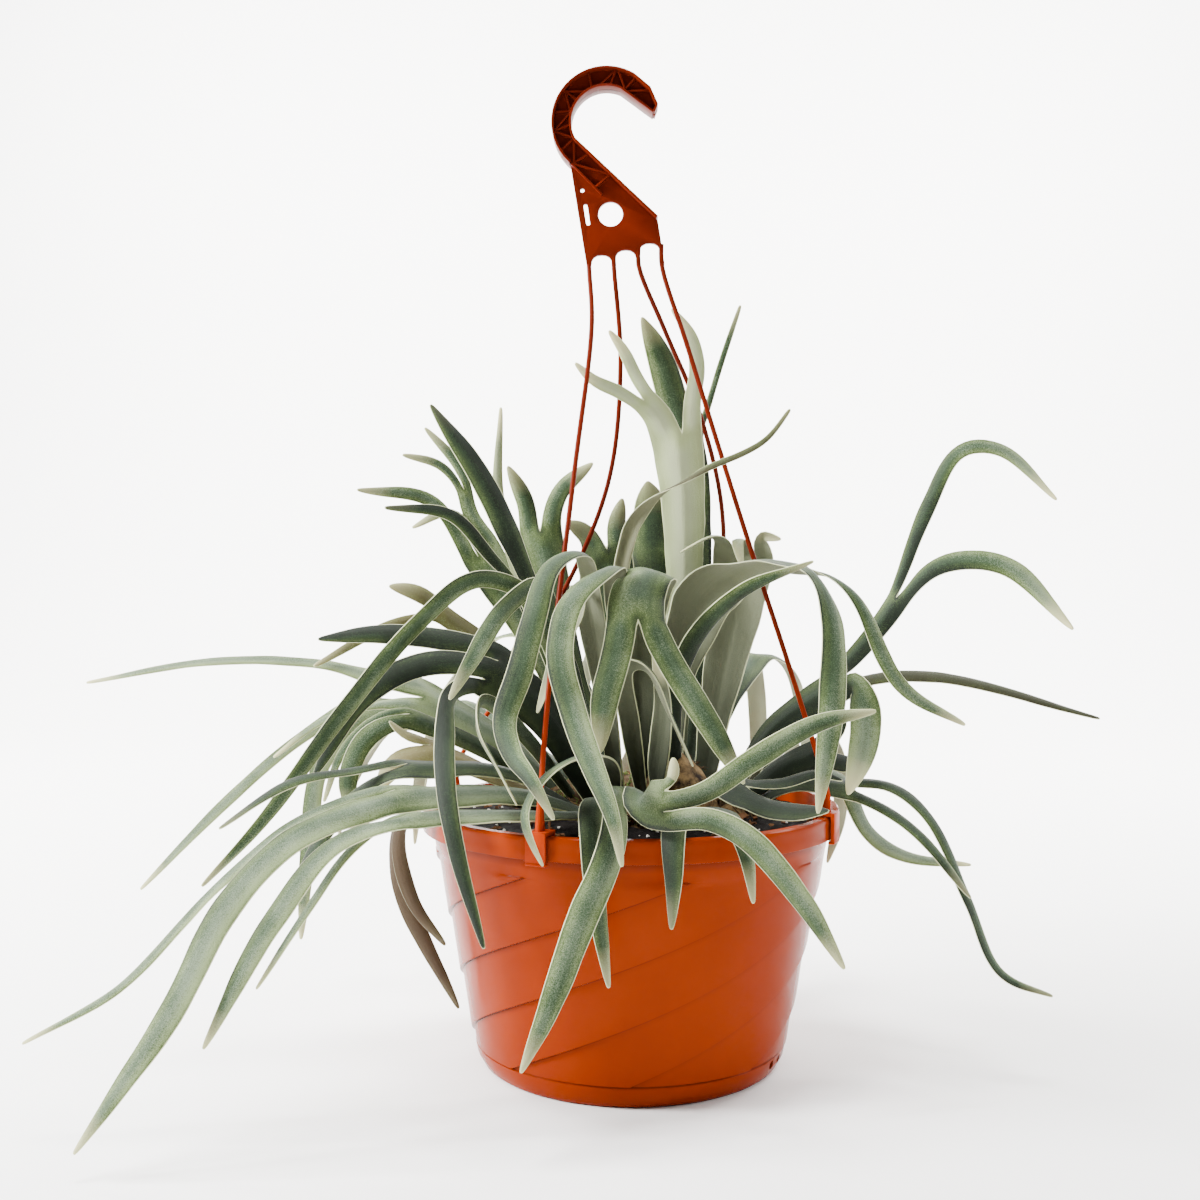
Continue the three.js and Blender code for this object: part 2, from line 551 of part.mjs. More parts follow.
    [166, 2, 120], [204, -8, 117]]),
  frond("grey_arch_right", 7, 12, [0, -0.5, 1], [[60, 16, 148], [88, 26, 174], [112, 30, 170], [130, 26, 158],
    [150, 18, 164]]),
  frond("deep_right", 8, 20, [-0.3, -0.8, 0.5], [[62, -8, 150], [90, -18, 176], [112, -24, 186]],
    lobe(13, [[120, -26, 198], [126, -26, 208]]),
    lobe(12, [[124, -24, 180], [136, -20, 178]])),

  // The far side
  frond("back_left_high", 8, 24, [0.5, -0.8, 0.2], [[-10, 48, 150], [-36, 84, 220], [-66, 122, 248]],
    lobe(15, [[-104, 146, 240], [-142, 168, 190], [-152, 176, 130]]),
    lobe(14, [[-80, 158, 238], [-88, 196, 186], [-84, 208, 128]])),
  frond("back_left_low", 8, 22, [0.6, -0.6, 0.5], [[-26, 18, 152], [-72, 58, 186], [-112, 84, 204]],
    lobe(14, [[-150, 96, 196], [-188, 108, 152], [-204, 112, 100]]),
    lobe(12, [[-132, 118, 190], [-150, 146, 148], [-156, 158, 96]])),
  frond("back_middle", 8, 26, [0, -0.8, 0.4], [[8, 54, 148], [6, 92, 226], [2, 132, 256]],
    lobe(15, [[-24, 164, 246], [-36, 196, 194], [-34, 206, 138]]),
    lobe(14, [[22, 166, 248], [30, 200, 200], [26, 212, 150]])),
  frond("back_right_high", 8, 24, [-0.4, -0.8, 0.2], [[34, 46, 150], [68, 84, 214], [86, 116, 234]],
    lobe(14, [[88, 150, 224], [94, 182, 176], [92, 194, 122]]),
    lobe(13, [[112, 138, 224], [126, 158, 178], [124, 170, 126]])),
  frond("back_right_low", 8, 20, [-0.6, -0.6, 0.5], [[60, 22, 148], [88, 62, 182], [116, 88, 192]],
    lobe(13, [[138, 102, 176], [144, 112, 130], [136, 118, 92]]),
    lobe(11, [[112, 122, 180], [116, 144, 140], [112, 152, 100]])),
  frond("back_over_rim", 8, 22, [0, -0.4, 1], [[12, 58, 148], [14, 100, 176], [14, 134, 176]],
    lobe(13, [[-2, 158, 154], [-8, 168, 112], [-4, 168, 76]]),
    lobe(12, [[34, 156, 152], [44, 166, 112], [42, 166, 82]])),
];

// The rim clips' places, as angles in plan from the viewer's side towards the right, and the points that
// the strand of each passes on its way down from the plate.
const STRANDS = [
  { name: "front_left", turn: -23, path: [[-25, 0, STRAND_TOP], [-23, -12, 440], [-32, -45, 350], [-44, -90, 230]] },
  { name: "back_left", turn: -113, path: [[-10, 0, STRAND_TOP], [-6, 6, 420], [-14, 14, 346], [-50, 32, 265]] },
  { name: "back_right", turn: 157, path: [[5, 0, STRAND_TOP], [21, 10, 440], [45, 25, 385], [60, 55, 318]] },
  { name: "front_right", turn: 67, path: [[19, 0, STRAND_TOP], [34, -6, 428], [68, -24, 314], [96, -38, 224]] },
];

const SECTION_SIDES = 8;

function tubeGeometry(points, width) {
  const section = new THREE.Shape();
  for (let i = 0; i < SECTION_SIDES; i += 1) {
    const angle = (i / SECTION_SIDES) * 2 * Math.PI;
    const spot = [Math.cos(angle) * (width / 2), Math.sin(angle) * (width / 2)];
    if (i === 0) {
      section.moveTo(...spot);
    } else {
      section.lineTo(...spot);
    }
  }
  section.closePath();
  const path = new THREE.CatmullRomCurve3(points.map((p) => vector(...p)), false, "centripetal");
  return new THREE.ExtrudeGeometry(section, { extrudePath: path, steps: 14, curveSegments: 1 });
}

function boxGeometry(low, high) {
  const size = high.map((value, i) => value - low[i]);
  const box = new THREE.BoxGeometry(...size);
  box.translate(...low.map((value, i) => value + size[i] / 2));
  return box;
}

// A strand ends in a clip that hooks over the rim band: a tongue inside, a bridge over the top and a lug
// outside with a lip under the band.
function strandGeometry(strand) {
  const turn = THREE.MathUtils.degToRad(strand.turn);
  const inside = wallRadius(POT_HEIGHT) - WALL - TONGUE_GAP;
  const outside = RIM_RADIUS + CLEARANCE + 0.2;
  const bridge = POT_HEIGHT + CLEARANCE;
  const half = CLIP_WIDTH / 2;
  const bottom = POT_HEIGHT - CLIP_DROP;
  const blocks = [
    boxGeometry([inside - CLIP_THICKNESS, -half, bridge - 5], [inside, half, bridge + CLIP_THICKNESS]),
    boxGeometry([inside - 0.5, -half, bridge], [outside + 0.5, half, bridge + CLIP_THICKNESS]),
    boxGeometry([outside, -half, bottom], [outside + CLIP_THICKNESS, half, bridge + CLIP_THICKNESS]),
    boxGeometry([outside - 1.6, -half, bottom - 1.6], [outside + CLIP_THICKNESS, half, bottom]),
  ];
  const clip = union(blocks.map((block) => {
    block.rotateZ(turn - Math.PI / 2);
    return solidOf(block);
  }));
  const middle = (inside + outside) / 2;
  const foot = (z) => [middle * Math.sin(turn), -middle * Math.cos(turn), z];
  const path = [...strand.path, foot(POT_HEIGHT + 14), foot(bridge + 1)];
  return geometryOf(clip.add(solidOf(tubeGeometry(path, STRAND_WIDTH))));
}

// The hanger's plate and hook lie in an upright plane. An outline is drawn in X and Z and given a depth.
function flatSolid(outline, depth, holes = []) {
  const shape = new THREE.Shape(outline.map(([x, z]) => new THREE.Vector2(x, z)));
  shape.holes = holes;
  const geometry = new THREE.ExtrudeGeometry(shape, { depth, bevelEnabled: false, curveSegments: 8 });
  geometry.translate(0, 0, -depth / 2);
  geometry.rotateX(Math.PI / 2);
  return solidOf(geometry);
}

function arcPoints(radius, from, to, count) {
  return Array.from({ length: count + 1 }, (unused, i) => {
    const angle = THREE.MathUtils.degToRad(from + ((to - from) * i) / count);
    return [HOOK_CENTRE[0] + radius * Math.cos(angle), HOOK_CENTRE[1] + radius * Math.sin(angle)];
  });
}

function barSolid([x1, z1], [x2, z2], depth) {
  const along = new THREE.Vector2(x2 - x1, z2 - z1).normalize();
  const side = [(-along.y * RIB_WIDTH) / 2, (along.x * RIB_WIDTH) / 2];
  return flatSolid([[x1 + side[0], z1 + side[1]], [x1 - side[0], z1 - side[1]],
    [x2 - side[0], z2 - side[1]], [x2 + side[0], z2 + side[1]]], depth);
}

const SHOULDER = [16.5, 504];
const PLATE_LEFT_TOP = [-36.3, 538];
const HOOK_TIP = [[12, 582.5], [16.5, 572], [14.8, 566.6]];

// The zigzag ribs between the hook's outer and inner walls, each from one end to the other in X and Z.
const TRUSS_DEPTH = 9;
const TRUSS = [
  [[-24.8, 592], [-23.2, 582.5]], [[-20, 582.5], [-8.8, 593.5]], [[-8.8, 593.5], [-12.2, 583.5]],
  [[-7.4, 593], [-3, 581.5]], [[3.2, 589], [-3.4, 581.5]], [[-3.4, 580.5], [12, 581.2]],
  [[-40.3, 580.8], [-26, 580.5]], [[-39.4, 581], [-31.5, 575.2]], [[-39.2, 581.5], [-36, 568.5]],
  [[-46, 568.6], [-35.6, 568.8]], [[-36, 568.2], [-46, 557]], [[-46, 557], [-36, 561]],
  [[-46, 557], [-34.6, 553]], [[-42.6, 545], [-34, 552.4]], [[-34, 552.6], [-33.9, 537]],
  [[-33.9, 538], [-25, 543.6]], [[-34.5, 537.4], [-11, 531]], [[-21, 523.6], [-11.6, 531.6]],
  [[-35.6, 537.6], [-17.2, 519.3]],
];

function hookGeometry() {
  const outer = arcPoints(HOOK_OUTER, 59, 228, 16);
  const inner = arcPoints(HOOK_INNER, 208, 66, 12);
  const tip = HOOK_TIP.toReversed();
  const scallop = (middle, top) => [[6, -5], [5.6, -3], [3.4, -0.8], [0, 0], [-3.4, -0.8], [-5.6, -3], [-6, -5]]
    .map(([x, z]) => [middle + x, top + z]);
  const lowest = STRAND_TOP + STRAND_GAP;
  const plate = [
    ...outer, PLATE_LEFT_TOP, [-26.6, lowest], [-23.4, lowest],
    ...scallop(-17.3, 483.4).toReversed(), [-11.3, lowest], [-8.9, lowest],
    ...scallop(-2.8, 486.4).toReversed(), [3.4, lowest], [6, lowest],
    ...scallop(11.6, 490.4).toReversed(), [17.6, lowest], [20.6, lowest],
    SHOULDER, ...inner, ...tip,
  ];
  const round = (x, z, radius) => new THREE.Path().absarc(x, z, radius, 0, 2 * Math.PI, true);
  const slot = new THREE.Path([[-28.3, 513.5], [-26, 513.5], [-24.3, 502], [-26.6, 502]]
    .map(([x, z]) => new THREE.Vector2(x, z)));
  const holes = [round(NAIL_HOLE.x, NAIL_HOLE.z, NAIL_HOLE.radius), round(-29, 522.3, 1.3), slot];
  const web = flatSolid(plate, PLATE_THICKNESS, holes);
  const rim = [];
  const edge = [...arcPoints(HOOK_OUTER - RIB_WIDTH / 2, 59, 228, 16)];
  const lip = [[16, 505], ...arcPoints(HOOK_INNER + RIB_WIDTH / 2, 208, 66, 12), [13.6, 567.6]];
  const nose = [edge[0], [11.4, 581.9], [15.8, 572], [14, 567.6]];
  [edge, lip, nose].forEach((line) => {
    line.slice(1).forEach((spot, i) => rim.push(barSolid(line[i], spot, HOOK_DEPTH)));
  });
  const truss = TRUSS.map(([from, to]) => barSolid(from, to, TRUSS_DEPTH));
  return { web, rim, truss };
}

const group = new THREE.Group();

function addPiece(name, geometry, color, roughness) {
  const material = new THREE.MeshStandardMaterial({ color, roughness, metalness: 0 });
  const mesh = new THREE.Mesh(geometry, material);
  mesh.name = name;
  group.add(mesh);
}

const crownRoom = crownSolid(CLEARANCE);
addPiece("pot", potGeometry(), 0xc4501f, 0.35);
addPiece("potting_mix", geometryOf(soilSolid().subtract(crownRoom)), 0x1d1712, 0.95);
addPiece("crown", geometryOf(crownSolid(0)), 0x6f5236, 0.9);
const hook = hookGeometry();
addPiece("hanger_hook", geometryOf(union([hook.web, ...hook.rim, ...hook.truss])), 0x6a2410, 0.35);
STRANDS.forEach((strand) => {
  addPiece(`hanger_strand_${strand.name}`, strandGeometry(strand), 0x7d2c14, 0.4);
});
FRONDS.forEach((item) => {
  addPiece(item.name, geometryOf(frondSolid(item).subtract(crownRoom)), 0x8fa183, 0.85);
});

export default group;
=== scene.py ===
import math
import random

import bpy
from mathutils import Matrix, Vector, kdtree, noise


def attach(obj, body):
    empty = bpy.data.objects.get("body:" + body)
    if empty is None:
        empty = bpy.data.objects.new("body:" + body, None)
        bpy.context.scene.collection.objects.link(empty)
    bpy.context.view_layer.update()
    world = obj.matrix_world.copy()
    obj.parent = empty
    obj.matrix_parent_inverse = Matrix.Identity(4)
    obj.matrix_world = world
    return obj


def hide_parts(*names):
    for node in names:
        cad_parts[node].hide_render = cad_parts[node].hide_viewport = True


bl_info = {
    "name": "Staghorn fern in a hanging basket",
    "version": (1, 0, 0),
    "blender": (4, 5, 0),
    "location": "View3D > Sidebar > Fern basket",
    "description": "Models a staghorn fern, its swirled pot and its hanger over the packed frame",
    "category": "Object",
}

# A staghorn fern grows in a moulded pot with swirled ribs, which hangs by a moulded hanger. Lengths in the
# tables are millimetres, and metres elsewhere. X is to the right, Y away from the viewer and Z up.
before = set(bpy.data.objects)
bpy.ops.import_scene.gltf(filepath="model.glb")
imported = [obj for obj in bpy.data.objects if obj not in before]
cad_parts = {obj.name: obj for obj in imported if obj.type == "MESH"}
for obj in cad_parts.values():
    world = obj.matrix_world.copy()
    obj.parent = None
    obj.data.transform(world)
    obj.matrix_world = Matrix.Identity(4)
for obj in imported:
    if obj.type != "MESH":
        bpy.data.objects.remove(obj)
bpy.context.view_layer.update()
MM = 0.001

# Places that the hanger, the pot and the plant share with the solid model
WALL = 2.4
BAND_HEIGHT = 13
BAND_DEPTH = 3.2
FOOT_HEIGHT = 13.5
SWIRL_TOP = 128
SWIRL_RIBS = 8
SWIRL_SWEEP = math.radians(150)
DRAIN_HEIGHT = 9
SOIL_LEVEL = 144
HOOK_CENTRE = (-14.5, 562)
HOOK_OUTER = 33
HOOK_INNER = 21
HOOK_DEPTH = 14
CLIP_TURNS = {"front_left": -23, "back_left": -113, "back_right": 157, "front_right": 67}


def linear(colour):
    """An sRGB hex colour as linear red, green, blue and alpha."""
    parts = [int(colour[i:i + 2], 16) / 255 for i in (1, 3, 5)]
    return (*[p / 12.92 if p <= 0.04045 else ((p + 0.055) / 1.055) ** 2.4 for p in parts], 1.0)


def colour_property(label, text, colour):
    return bpy.props.FloatVectorProperty(name=label, description=text, default=linear(colour), size=4,
                                         subtype="COLOR", min=0, max=1)


def length_property(label, text, millimetres):
    return bpy.props.FloatProperty(name=label, description=text, default=millimetres * MM, min=0,
                                   subtype="DISTANCE", unit="LENGTH", precision=5)


def count_property(label, text, number):
    return bpy.props.IntProperty(name=label, description=text, default=number, min=0)


class PotSettings(bpy.types.PropertyGroup):
    """Sizes and colours of the moulded pot."""
    rim_radius: length_property("Rim radius", "Radius of the pot at its rim band", 125)
    height: length_property("Height", "Height of the pot", 153)
    base_radius: length_property("Base radius", "Radius of the pot at its foot", 91)
    swirl_step: length_property("Swirl step", "How far a rib stands proud at its lower edge", 1.7)
    colour: colour_property("Pot", "Terracotta coloured plastic", "#862a00")
    shade: colour_property("Pot shade", "Plastic where the wall is thickest", "#702000")
    # Painted shade: the colour painted into the steps of the swirl and into the lines under the top of the
    # foot and under the rim band, where shadow falls
    painted_shade: colour_property("Pot crease", "Shade and dust in the steps of the wall", "#3a1000")


class SoilSettings(bpy.types.PropertyGroup):
    """Sizes and colours of the potting mix."""
    dome: length_property("Dome", "How far the mix is heaped up in the middle", 4)
    perlite_count: count_property("Perlite count", "Number of white grains", 190)
    bark_count: count_property("Bark count", "Number of bark chips", 260)
    colour: colour_property("Potting mix", "Damp dark peat", "#120d0a")
    perlite: colour_property("Perlite", "Puffed white mineral grains", "#e6e2d8")
    bark: colour_property("Bark", "Shredded bark", "#6d4b30")


class CrownSettings(bpy.types.PropertyGroup):
    """Sizes and colours of the fern's crown."""
    fibre_count: count_property("Root fibre count", "Number of fibres", 260)
    scale_count: count_property("Fuzz count", "Number of dark scales", 700)
    moss_count: count_property("Moss count", "Number of moss leaves", 900)
    shield: colour_property("Shield frond", "Papery brown shield fronds", "#7d6644")
    shield_dark: colour_property("Shield stain", "Stains and veins of the shield fronds", "#22180e")
    fibre: colour_property("Fibres", "Matted old roots", "#4f3f28")
    fuzz: colour_property("Fuzz", "Dark scales on the growing point", "#2a1a12")
    moss: colour_property("Moss", "Moss on the old roots", "#5d7434")


class HangerSettings(bpy.types.PropertyGroup):
    """Sizes and colours of the hanger."""
    plate_thickness: length_property("Plate thickness", "Thickness of the hanger's plate", 3)
    rib_width: length_property("Rib width", "Width of the hook's ribs", 1.4)
    strand_width: length_property("Strand width", "Width of each strand", 3)
    colour: colour_property("Hanger", "Rust brown plastic", "#5f1a08")
    shade: colour_property("Hanger shade", "Plastic in the hook's pockets", "#4c1206")
    lower: colour_property("Hanger, lower down", "Thin strands and clips, lit through", "#962c02")


class FrondSettings(bpy.types.PropertyGroup):
    """Sizes and colours of the fronds."""
    blade_thickness: length_property("Blade thickness", "Thickness of a blade", 1.0)
    stalk_thickness: length_property("Stalk thickness", "Thickness of a frond at its foot", 2.6)
    row_spacing: length_property("Row spacing", "Distance between the rows that a blade is built from", 7)
    tip_width: length_property("Tip width", "Width at the very tip of a lobe", 2.2)
    arch: bpy.props.FloatProperty(name="Arch", description="Height of a blade's arch over its half width",
                                  default=0.32, min=0, max=1)
    # Deep green is also the colour of the painted shade near the crown
    deep: colour_property("Deep green", "Leaf where its felt is thin", "#081504")
    sage: colour_property("Sage", "Leaf under its grey felt", "#263a1c")
    bloom: colour_property("Bloom", "Thick felt", "#7a876c")
    middle: colour_property("Middle", "Greyer felt along a blade's middle", "#42523f")
    # The flank colour is partly the felt's own yellower colour and partly a painted highlight along both
    # sides of a blade's middle
    flank_highlight: colour_property("Flank", "Yellower felt on both sides of a blade's middle", "#7f8e48")
    under: colour_property("Underside", "Felt on the underside", "#7b7e64")
    margin: colour_property("Margin", "Thin pale edge", "#c9cda0")
    tip: colour_property("Tip", "Soft growing tip", "#cdc896")
    straw: colour_property("Straw", "Ageing leaf", "#a08c5a")
    dry: colour_property("Dry frond", "Dead brown leaf", "#3a2917")


class StageSettings(bpy.types.PropertyGroup):
    """The floor, the lights and the camera."""
    floor: colour_property("Floor", "Pale plain floor", "#fbfaf8")
    camera_distance: length_property("Camera distance", "From the camera to the pot's axis", 835)
    camera_height: length_property("Camera height", "Height of the camera", 288)
    key_power: bpy.props.FloatProperty(name="Key light", description="Power of the main light", default=68,
                                       min=0, subtype="POWER", unit="POWER")


def settings(name):
    return getattr(bpy.context.scene, "fern_" + name)


# Materials

def new_material(name, finish):
    """A material with only its shader and output, and the shader with its own values set."""
    made = bpy.data.materials.new(name)
    made.use_nodes = True
    shader = made.node_tree.nodes["Principled BSDF"]
    for key, value in finish.items():
        shader.inputs[key].default_value = value
    return made, shader


# Sockets of the Mix node for colours
FACTOR, FIRST, SECOND, MIXED = 0, 6, 7, 2


def add_node(material, kind, inputs=None, **values):
    """Adds a node. Each input takes a value, or another node or one of its outputs to link."""
    made = material.node_tree.nodes.new(kind)
    for name, value in values.items():
        setattr(made, name, value)
    for name, value in (inputs or {}).items():
        if isinstance(value, bpy.types.Node):
            value = value.outputs[MIXED if value.bl_idname == "ShaderNodeMix" else 0]
        if isinstance(value, bpy.types.NodeSocket):
            material.node_tree.links.new(value, made.inputs[name])
        else:
            made.inputs[name].default_value = value
    return made


def link_surface(material, shader, colour, relief, strength, depth):
    """Links a material's colour, and its relief with its depth in metres."""
    bump = add_node(material, "ShaderNodeBump", {"Height": relief, "Strength": strength, "Distance": depth})
    material.node_tree.links.new(colour.outputs[MIXED], shader.inputs["Base Color"])
    material.node_tree.links.new(bump.outputs[0], shader.inputs["Normal"])


# How much of its own shade the underside shows
UNDER_SHARE = 0.82


def frond_material(name, under=False, dry=False):
    """Fern leaf, grown: felted with tiny star-shaped hairs, so it is matt and speckled, with a thin bare pale
    edge and soft pale tips. Age turns it straw brown. Light and shade are painted in too: one flank paler
    than the other, a painted highlight beside the middle, and painted shade near the crown."""
    look = settings("frond")
    made, shader = new_material(name, {
        "Roughness": 0.78 if under else 0.66, "IOR": 1.42, "Specular IOR Level": 0.25,
        "Sheen Weight": 0.06, "Sheen Roughness": 0.6})
    place = add_node(made, "ShaderNodeTexCoord").outputs["Object"]
    blade = add_node(made, "ShaderNodeUVMap", uv_map="blade")
    reach = add_node(made, "ShaderNodeSeparateXYZ", {0: blade}).outputs["Y"]
    tone, inner, margin, tip, warm, side = [
        add_node(made, "ShaderNodeAttribute", attribute_name=key).outputs["Fac"]
        for key in ("tone", "inner", "margin", "tip", "warm", "side")]
    # Patches of thicker and thinner felt, about 20 mm across, and hair tufts half a millimetre wide
    patches = add_node(made, "ShaderNodeTexNoise", {"Vector": place, "Scale": 55.0, "Detail": 3.0})
    tufts = add_node(made, "ShaderNodeTexNoise", {"Vector": place, "Scale": 2000.0, "Detail": 1.0})
    # Veins run along the blade, about 2 mm apart
    along = add_node(made, "ShaderNodeVectorMath", {0: blade, 1: (520.0, 26.0, 1.0)}, operation="MULTIPLY")
    veins = add_node(made, "ShaderNodeTexNoise", {"Vector": along, "Scale": 1.0, "Detail": 2.0})
    # The felt is as thick as the frond's tone says, and each of the three makes it uneven by its own share
    felt = tone
    for pattern, uneven in ((patches, 0.56), (veins, 0.24), (tufts, 1.0)):
        change = add_node(made, "ShaderNodeMath", {0: pattern, 1: uneven, 2: -uneven / 2},
                          operation="MULTIPLY_ADD")
        felt = add_node(made, "ShaderNodeMath", {0: felt, 1: change}, operation="ADD",
                        use_clamp=pattern is tufts)
    # Painted light and shade: one flank has more of it than the other, so it is painted paler as if lit and
    # the other darker as if shaded, and which one changes over some centimetres
    painted_lit_flank = add_node(made, "ShaderNodeTexNoise", {"Vector": place, "Scale": 9.0, "Detail": 1.0})
    # What each part of the look follows, the two values of it between which the part changes, and how
    # strong the part is at each of them. Distances are in metres.
    ranges = {
        "painted_lit_flank": (painted_lit_flank, 0.35, 0.55, 0.25, -0.4),
        "rubbed": (inner, 0.3, 0.06, 0.0, 0.3),
        "middle": (inner, 0.55, 1.0, 0.0, 0.5),
        # Partly a painted highlight along both flanks
        "flank_highlight": (inner, 0.8, 0.3, 0.0, 0.42),
        "young": (tone, 0.85, 1.2, 0.0, 0.4),
        # Painted shade near the crown, over the first centimetres of each frond
        "foot": (reach, 0.15, 0.02, 0.0, 0.85),
        "tip": (tip, 0.022, 0.0, 0.0, 0.15 if dry else 1.0),
        "edge": (margin, 0.0004, 0.0, 0.0, 0.2 if dry else 0.85),
    }
    part = {}
    for key, (value, start, end, least, most) in ranges.items():
        part[key] = add_node(made, "ShaderNodeMapRange", {"Value": value, "From Min": start, "From Max": end,
                                                          "To Min": least, "To Max": most})
    felt = add_node(made, "ShaderNodeMath", {0: part["painted_lit_flank"], 1: side, 2: felt}, operation="MULTIPLY_ADD")
    # The felt is rubbed thin beside the edges
    felt = add_node(made, "ShaderNodeMath", {0: felt, 1: part["rubbed"]}, operation="SUBTRACT",
                    use_clamp=True)
    thin = add_node(made, "ShaderNodeMapRange", {"Value": felt, "From Max": 0.5})
    thick = add_node(made, "ShaderNodeMapRange", {"Value": felt, "From Min": 0.5})
    # The middle and the flanks show their own colour where the felt is thick, the flanks' colour being partly
    # a painted highlight, and a tip where it is pale
    for key, other in (("middle", felt), ("flank_highlight", felt), ("tip", tone)):
        part[key] = add_node(made, "ShaderNodeMath", {0: part[key], 1: other}, operation="MULTIPLY")
    # Young fronds are nearly white, and the first few centimetres from the crown are darkened with painted
    # shade, standing for the shade inside the crown
    layers = [(thin, look.sage), (thick, look.bloom), (part["middle"], look.middle),
              (part["young"], look.margin),
              (UNDER_SHARE, look.under) if under else (part["flank_highlight"], look.flank_highlight),
              (part["foot"], look.deep), (warm, look.dry if dry else look.straw),
              (part["tip"], look.tip), (part["edge"], look.margin)]
    colour = look.deep
    for share, shade in layers:
        colour = add_node(made, "ShaderNodeMix", {FACTOR: share, FIRST: colour, SECOND: shade},
                          data_type="RGBA")
    relief = add_node(made, "ShaderNodeMath", {0: veins, 1: tufts}, operation="ADD")
    link_surface(made, shader, colour, relief, 0.45, 0.5 * MM)
    return made


def mottled_material(name, light, dark, millimetres, roughness, depth, contrast=1.0):
    """Peat, bark, old root, dried leaf, moss or mineral grains, all grown or broken: dull and rough to the
    eye, with stains about as wide as the length that is given."""
    made, shader = new_material(name, {"Roughness": roughness, "Specular IOR Level": 0.12})
    place = add_node(made, "ShaderNodeTexCoord").outputs["Object"]
    scale = 1 / (millimetres * MM)
    coarse = add_node(made, "ShaderNodeTexNoise", {"Vector": place, "Scale": scale, "Detail": 5.0,
                                                   "Roughness": 0.65})
    fine = add_node(made, "ShaderNodeTexNoise", {"Vector": place, "Scale": 6 * scale, "Detail": 3.0})
    spread = 0.2 / contrast
    stain = add_node(made, "ShaderNodeMapRange", {"Value": coarse, "From Min": 0.5 - spread,
                                                  "From Max": 0.5 + spread})
    colour = add_node(made, "ShaderNodeMix", {FACTOR: stain, FIRST: dark, SECOND: light}, data_type="RGBA")
    relief = add_node(made, "ShaderNodeMath", {0: coarse, 1: fine}, operation="ADD")
    link_surface(made, shader, colour, relief, 0.6, depth * MM)
    return made


# Heights in metres between which the hanger's plastic gets paler, lit through where it is thin
PALER_HEIGHTS = {"From Min": 0.27, "From Max": 0.16}


def plastic_material(name, light, dark, roughness, lower=None, painted_shade=None):
    """Polypropylene, injection moulded: glossy but not mirror smooth, with cloudy shades a few centimetres
    wide and a faint ripple like orange peel. It can take another colour lower down, and painted shade in its
    steps."""
    made, shader = new_material(name, {"Roughness": roughness, "IOR": 1.49, "Specular IOR Level": 0.04})
    place = add_node(made, "ShaderNodeTexCoord").outputs["Object"]
    clouds = add_node(made, "ShaderNodeTexNoise", {"Vector": place, "Scale": 16.0, "Detail": 4.0})
    peel = add_node(made, "ShaderNodeTexNoise", {"Vector": place, "Scale": 420.0, "Detail": 2.0})
    layers = [(clouds, light)]
    if lower:
        height = add_node(made, "ShaderNodeSeparateXYZ", {0: place}).outputs["Z"]
        layers.append((add_node(made, "ShaderNodeMapRange", {"Value": height, **PALER_HEIGHTS}), lower))
    # Painted shade, as much as each point's share says, in the steps and lines of the wall
    if painted_shade:
        depth = add_node(made, "ShaderNodeAttribute", attribute_name="painted_shade").outputs["Fac"]
        layers.append((depth, painted_shade))
    colour = dark
    for share, shade in layers:
        colour = add_node(made, "ShaderNodeMix", {FACTOR: share, FIRST: colour, SECOND: shade},
                          data_type="RGBA")
    link_surface(made, shader, colour, peel, 0.12, 0.2 * MM)
    return made


# Meshes

def select_only(*pieces):
    """Selects these objects and makes the first one active."""
    bpy.ops.object.select_all(action="DESELECT")
    for piece in pieces:
        piece.select_set(True)
    bpy.context.view_layer.objects.active = pieces[0]


def apply_all(piece):
    """Puts the object's place into its mesh."""
    select_only(piece)
    bpy.ops.object.transform_apply(location=True, rotation=True, scale=True)


def apply_modifier(piece, kind, **values):
    """Adds a modifier with its values and applies it."""
    added = piece.modifiers.new(kind.title(), kind)
    for name, value in values.items():
        setattr(added, name, value)
    select_only(piece)
    bpy.ops.object.modifier_apply(modifier=added.name)


def mesh_piece(name, points, faces, edges=()):
    mesh = bpy.data.meshes.new(name)
    mesh.from_pydata(points, edges, faces)
    piece = bpy.data.objects.new(name, mesh)
    bpy.context.scene.collection.objects.link(piece)
    return piece


def joined(name, pieces):
    """Joins objects into one."""
    select_only(*pieces)
    if len(pieces) > 1:
        bpy.ops.object.join()
    piece = bpy.context.view_layer.objects.active
    piece.name = name
    piece.data.name = name
    return piece


def store_values(piece, name, values):
    """Keeps a value for each point of the mesh."""
    piece.data.attributes.new(name, "FLOAT", "POINT").data.foreach_set("value", values)


def finished(piece, slot, materials, *nodes, angle=None):
    """Gives a piece its materials and its place in the frame."""
    for material in materials:
        piece.data.materials.append(material)
    select_only(piece)
    if angle is None:
        bpy.ops.object.shade_smooth()
    else:
        bpy.ops.object.shade_smooth_by_angle(angle=math.radians(angle))
    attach(piece, "root")
    if nodes:
        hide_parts(*nodes)


def spun(name, profile, steps):
    """Turns a profile, as radii and heights, round the Z axis. Its two ends lie on the axis."""
    points = [(radius, 0, height) for radius, height in profile]
    piece = mesh_piece(name, points, [], [(i, i + 1) for i in range(len(points) - 1)])
    select_only(piece)
    bpy.ops.object.mode_set(mode="EDIT")
    bpy.ops.mesh.select_all(action="SELECT")
    bpy.ops.mesh.spin(steps=steps, angle=2 * math.pi, center=(0, 0, 0), axis=(0, 0, 1))
    bpy.ops.mesh.select_all(action="SELECT")
    bpy.ops.mesh.remove_doubles(threshold=1e-6)
    bpy.ops.mesh.normals_make_consistent(inside=False)
    bpy.ops.object.mode_set(mode="OBJECT")
    return piece


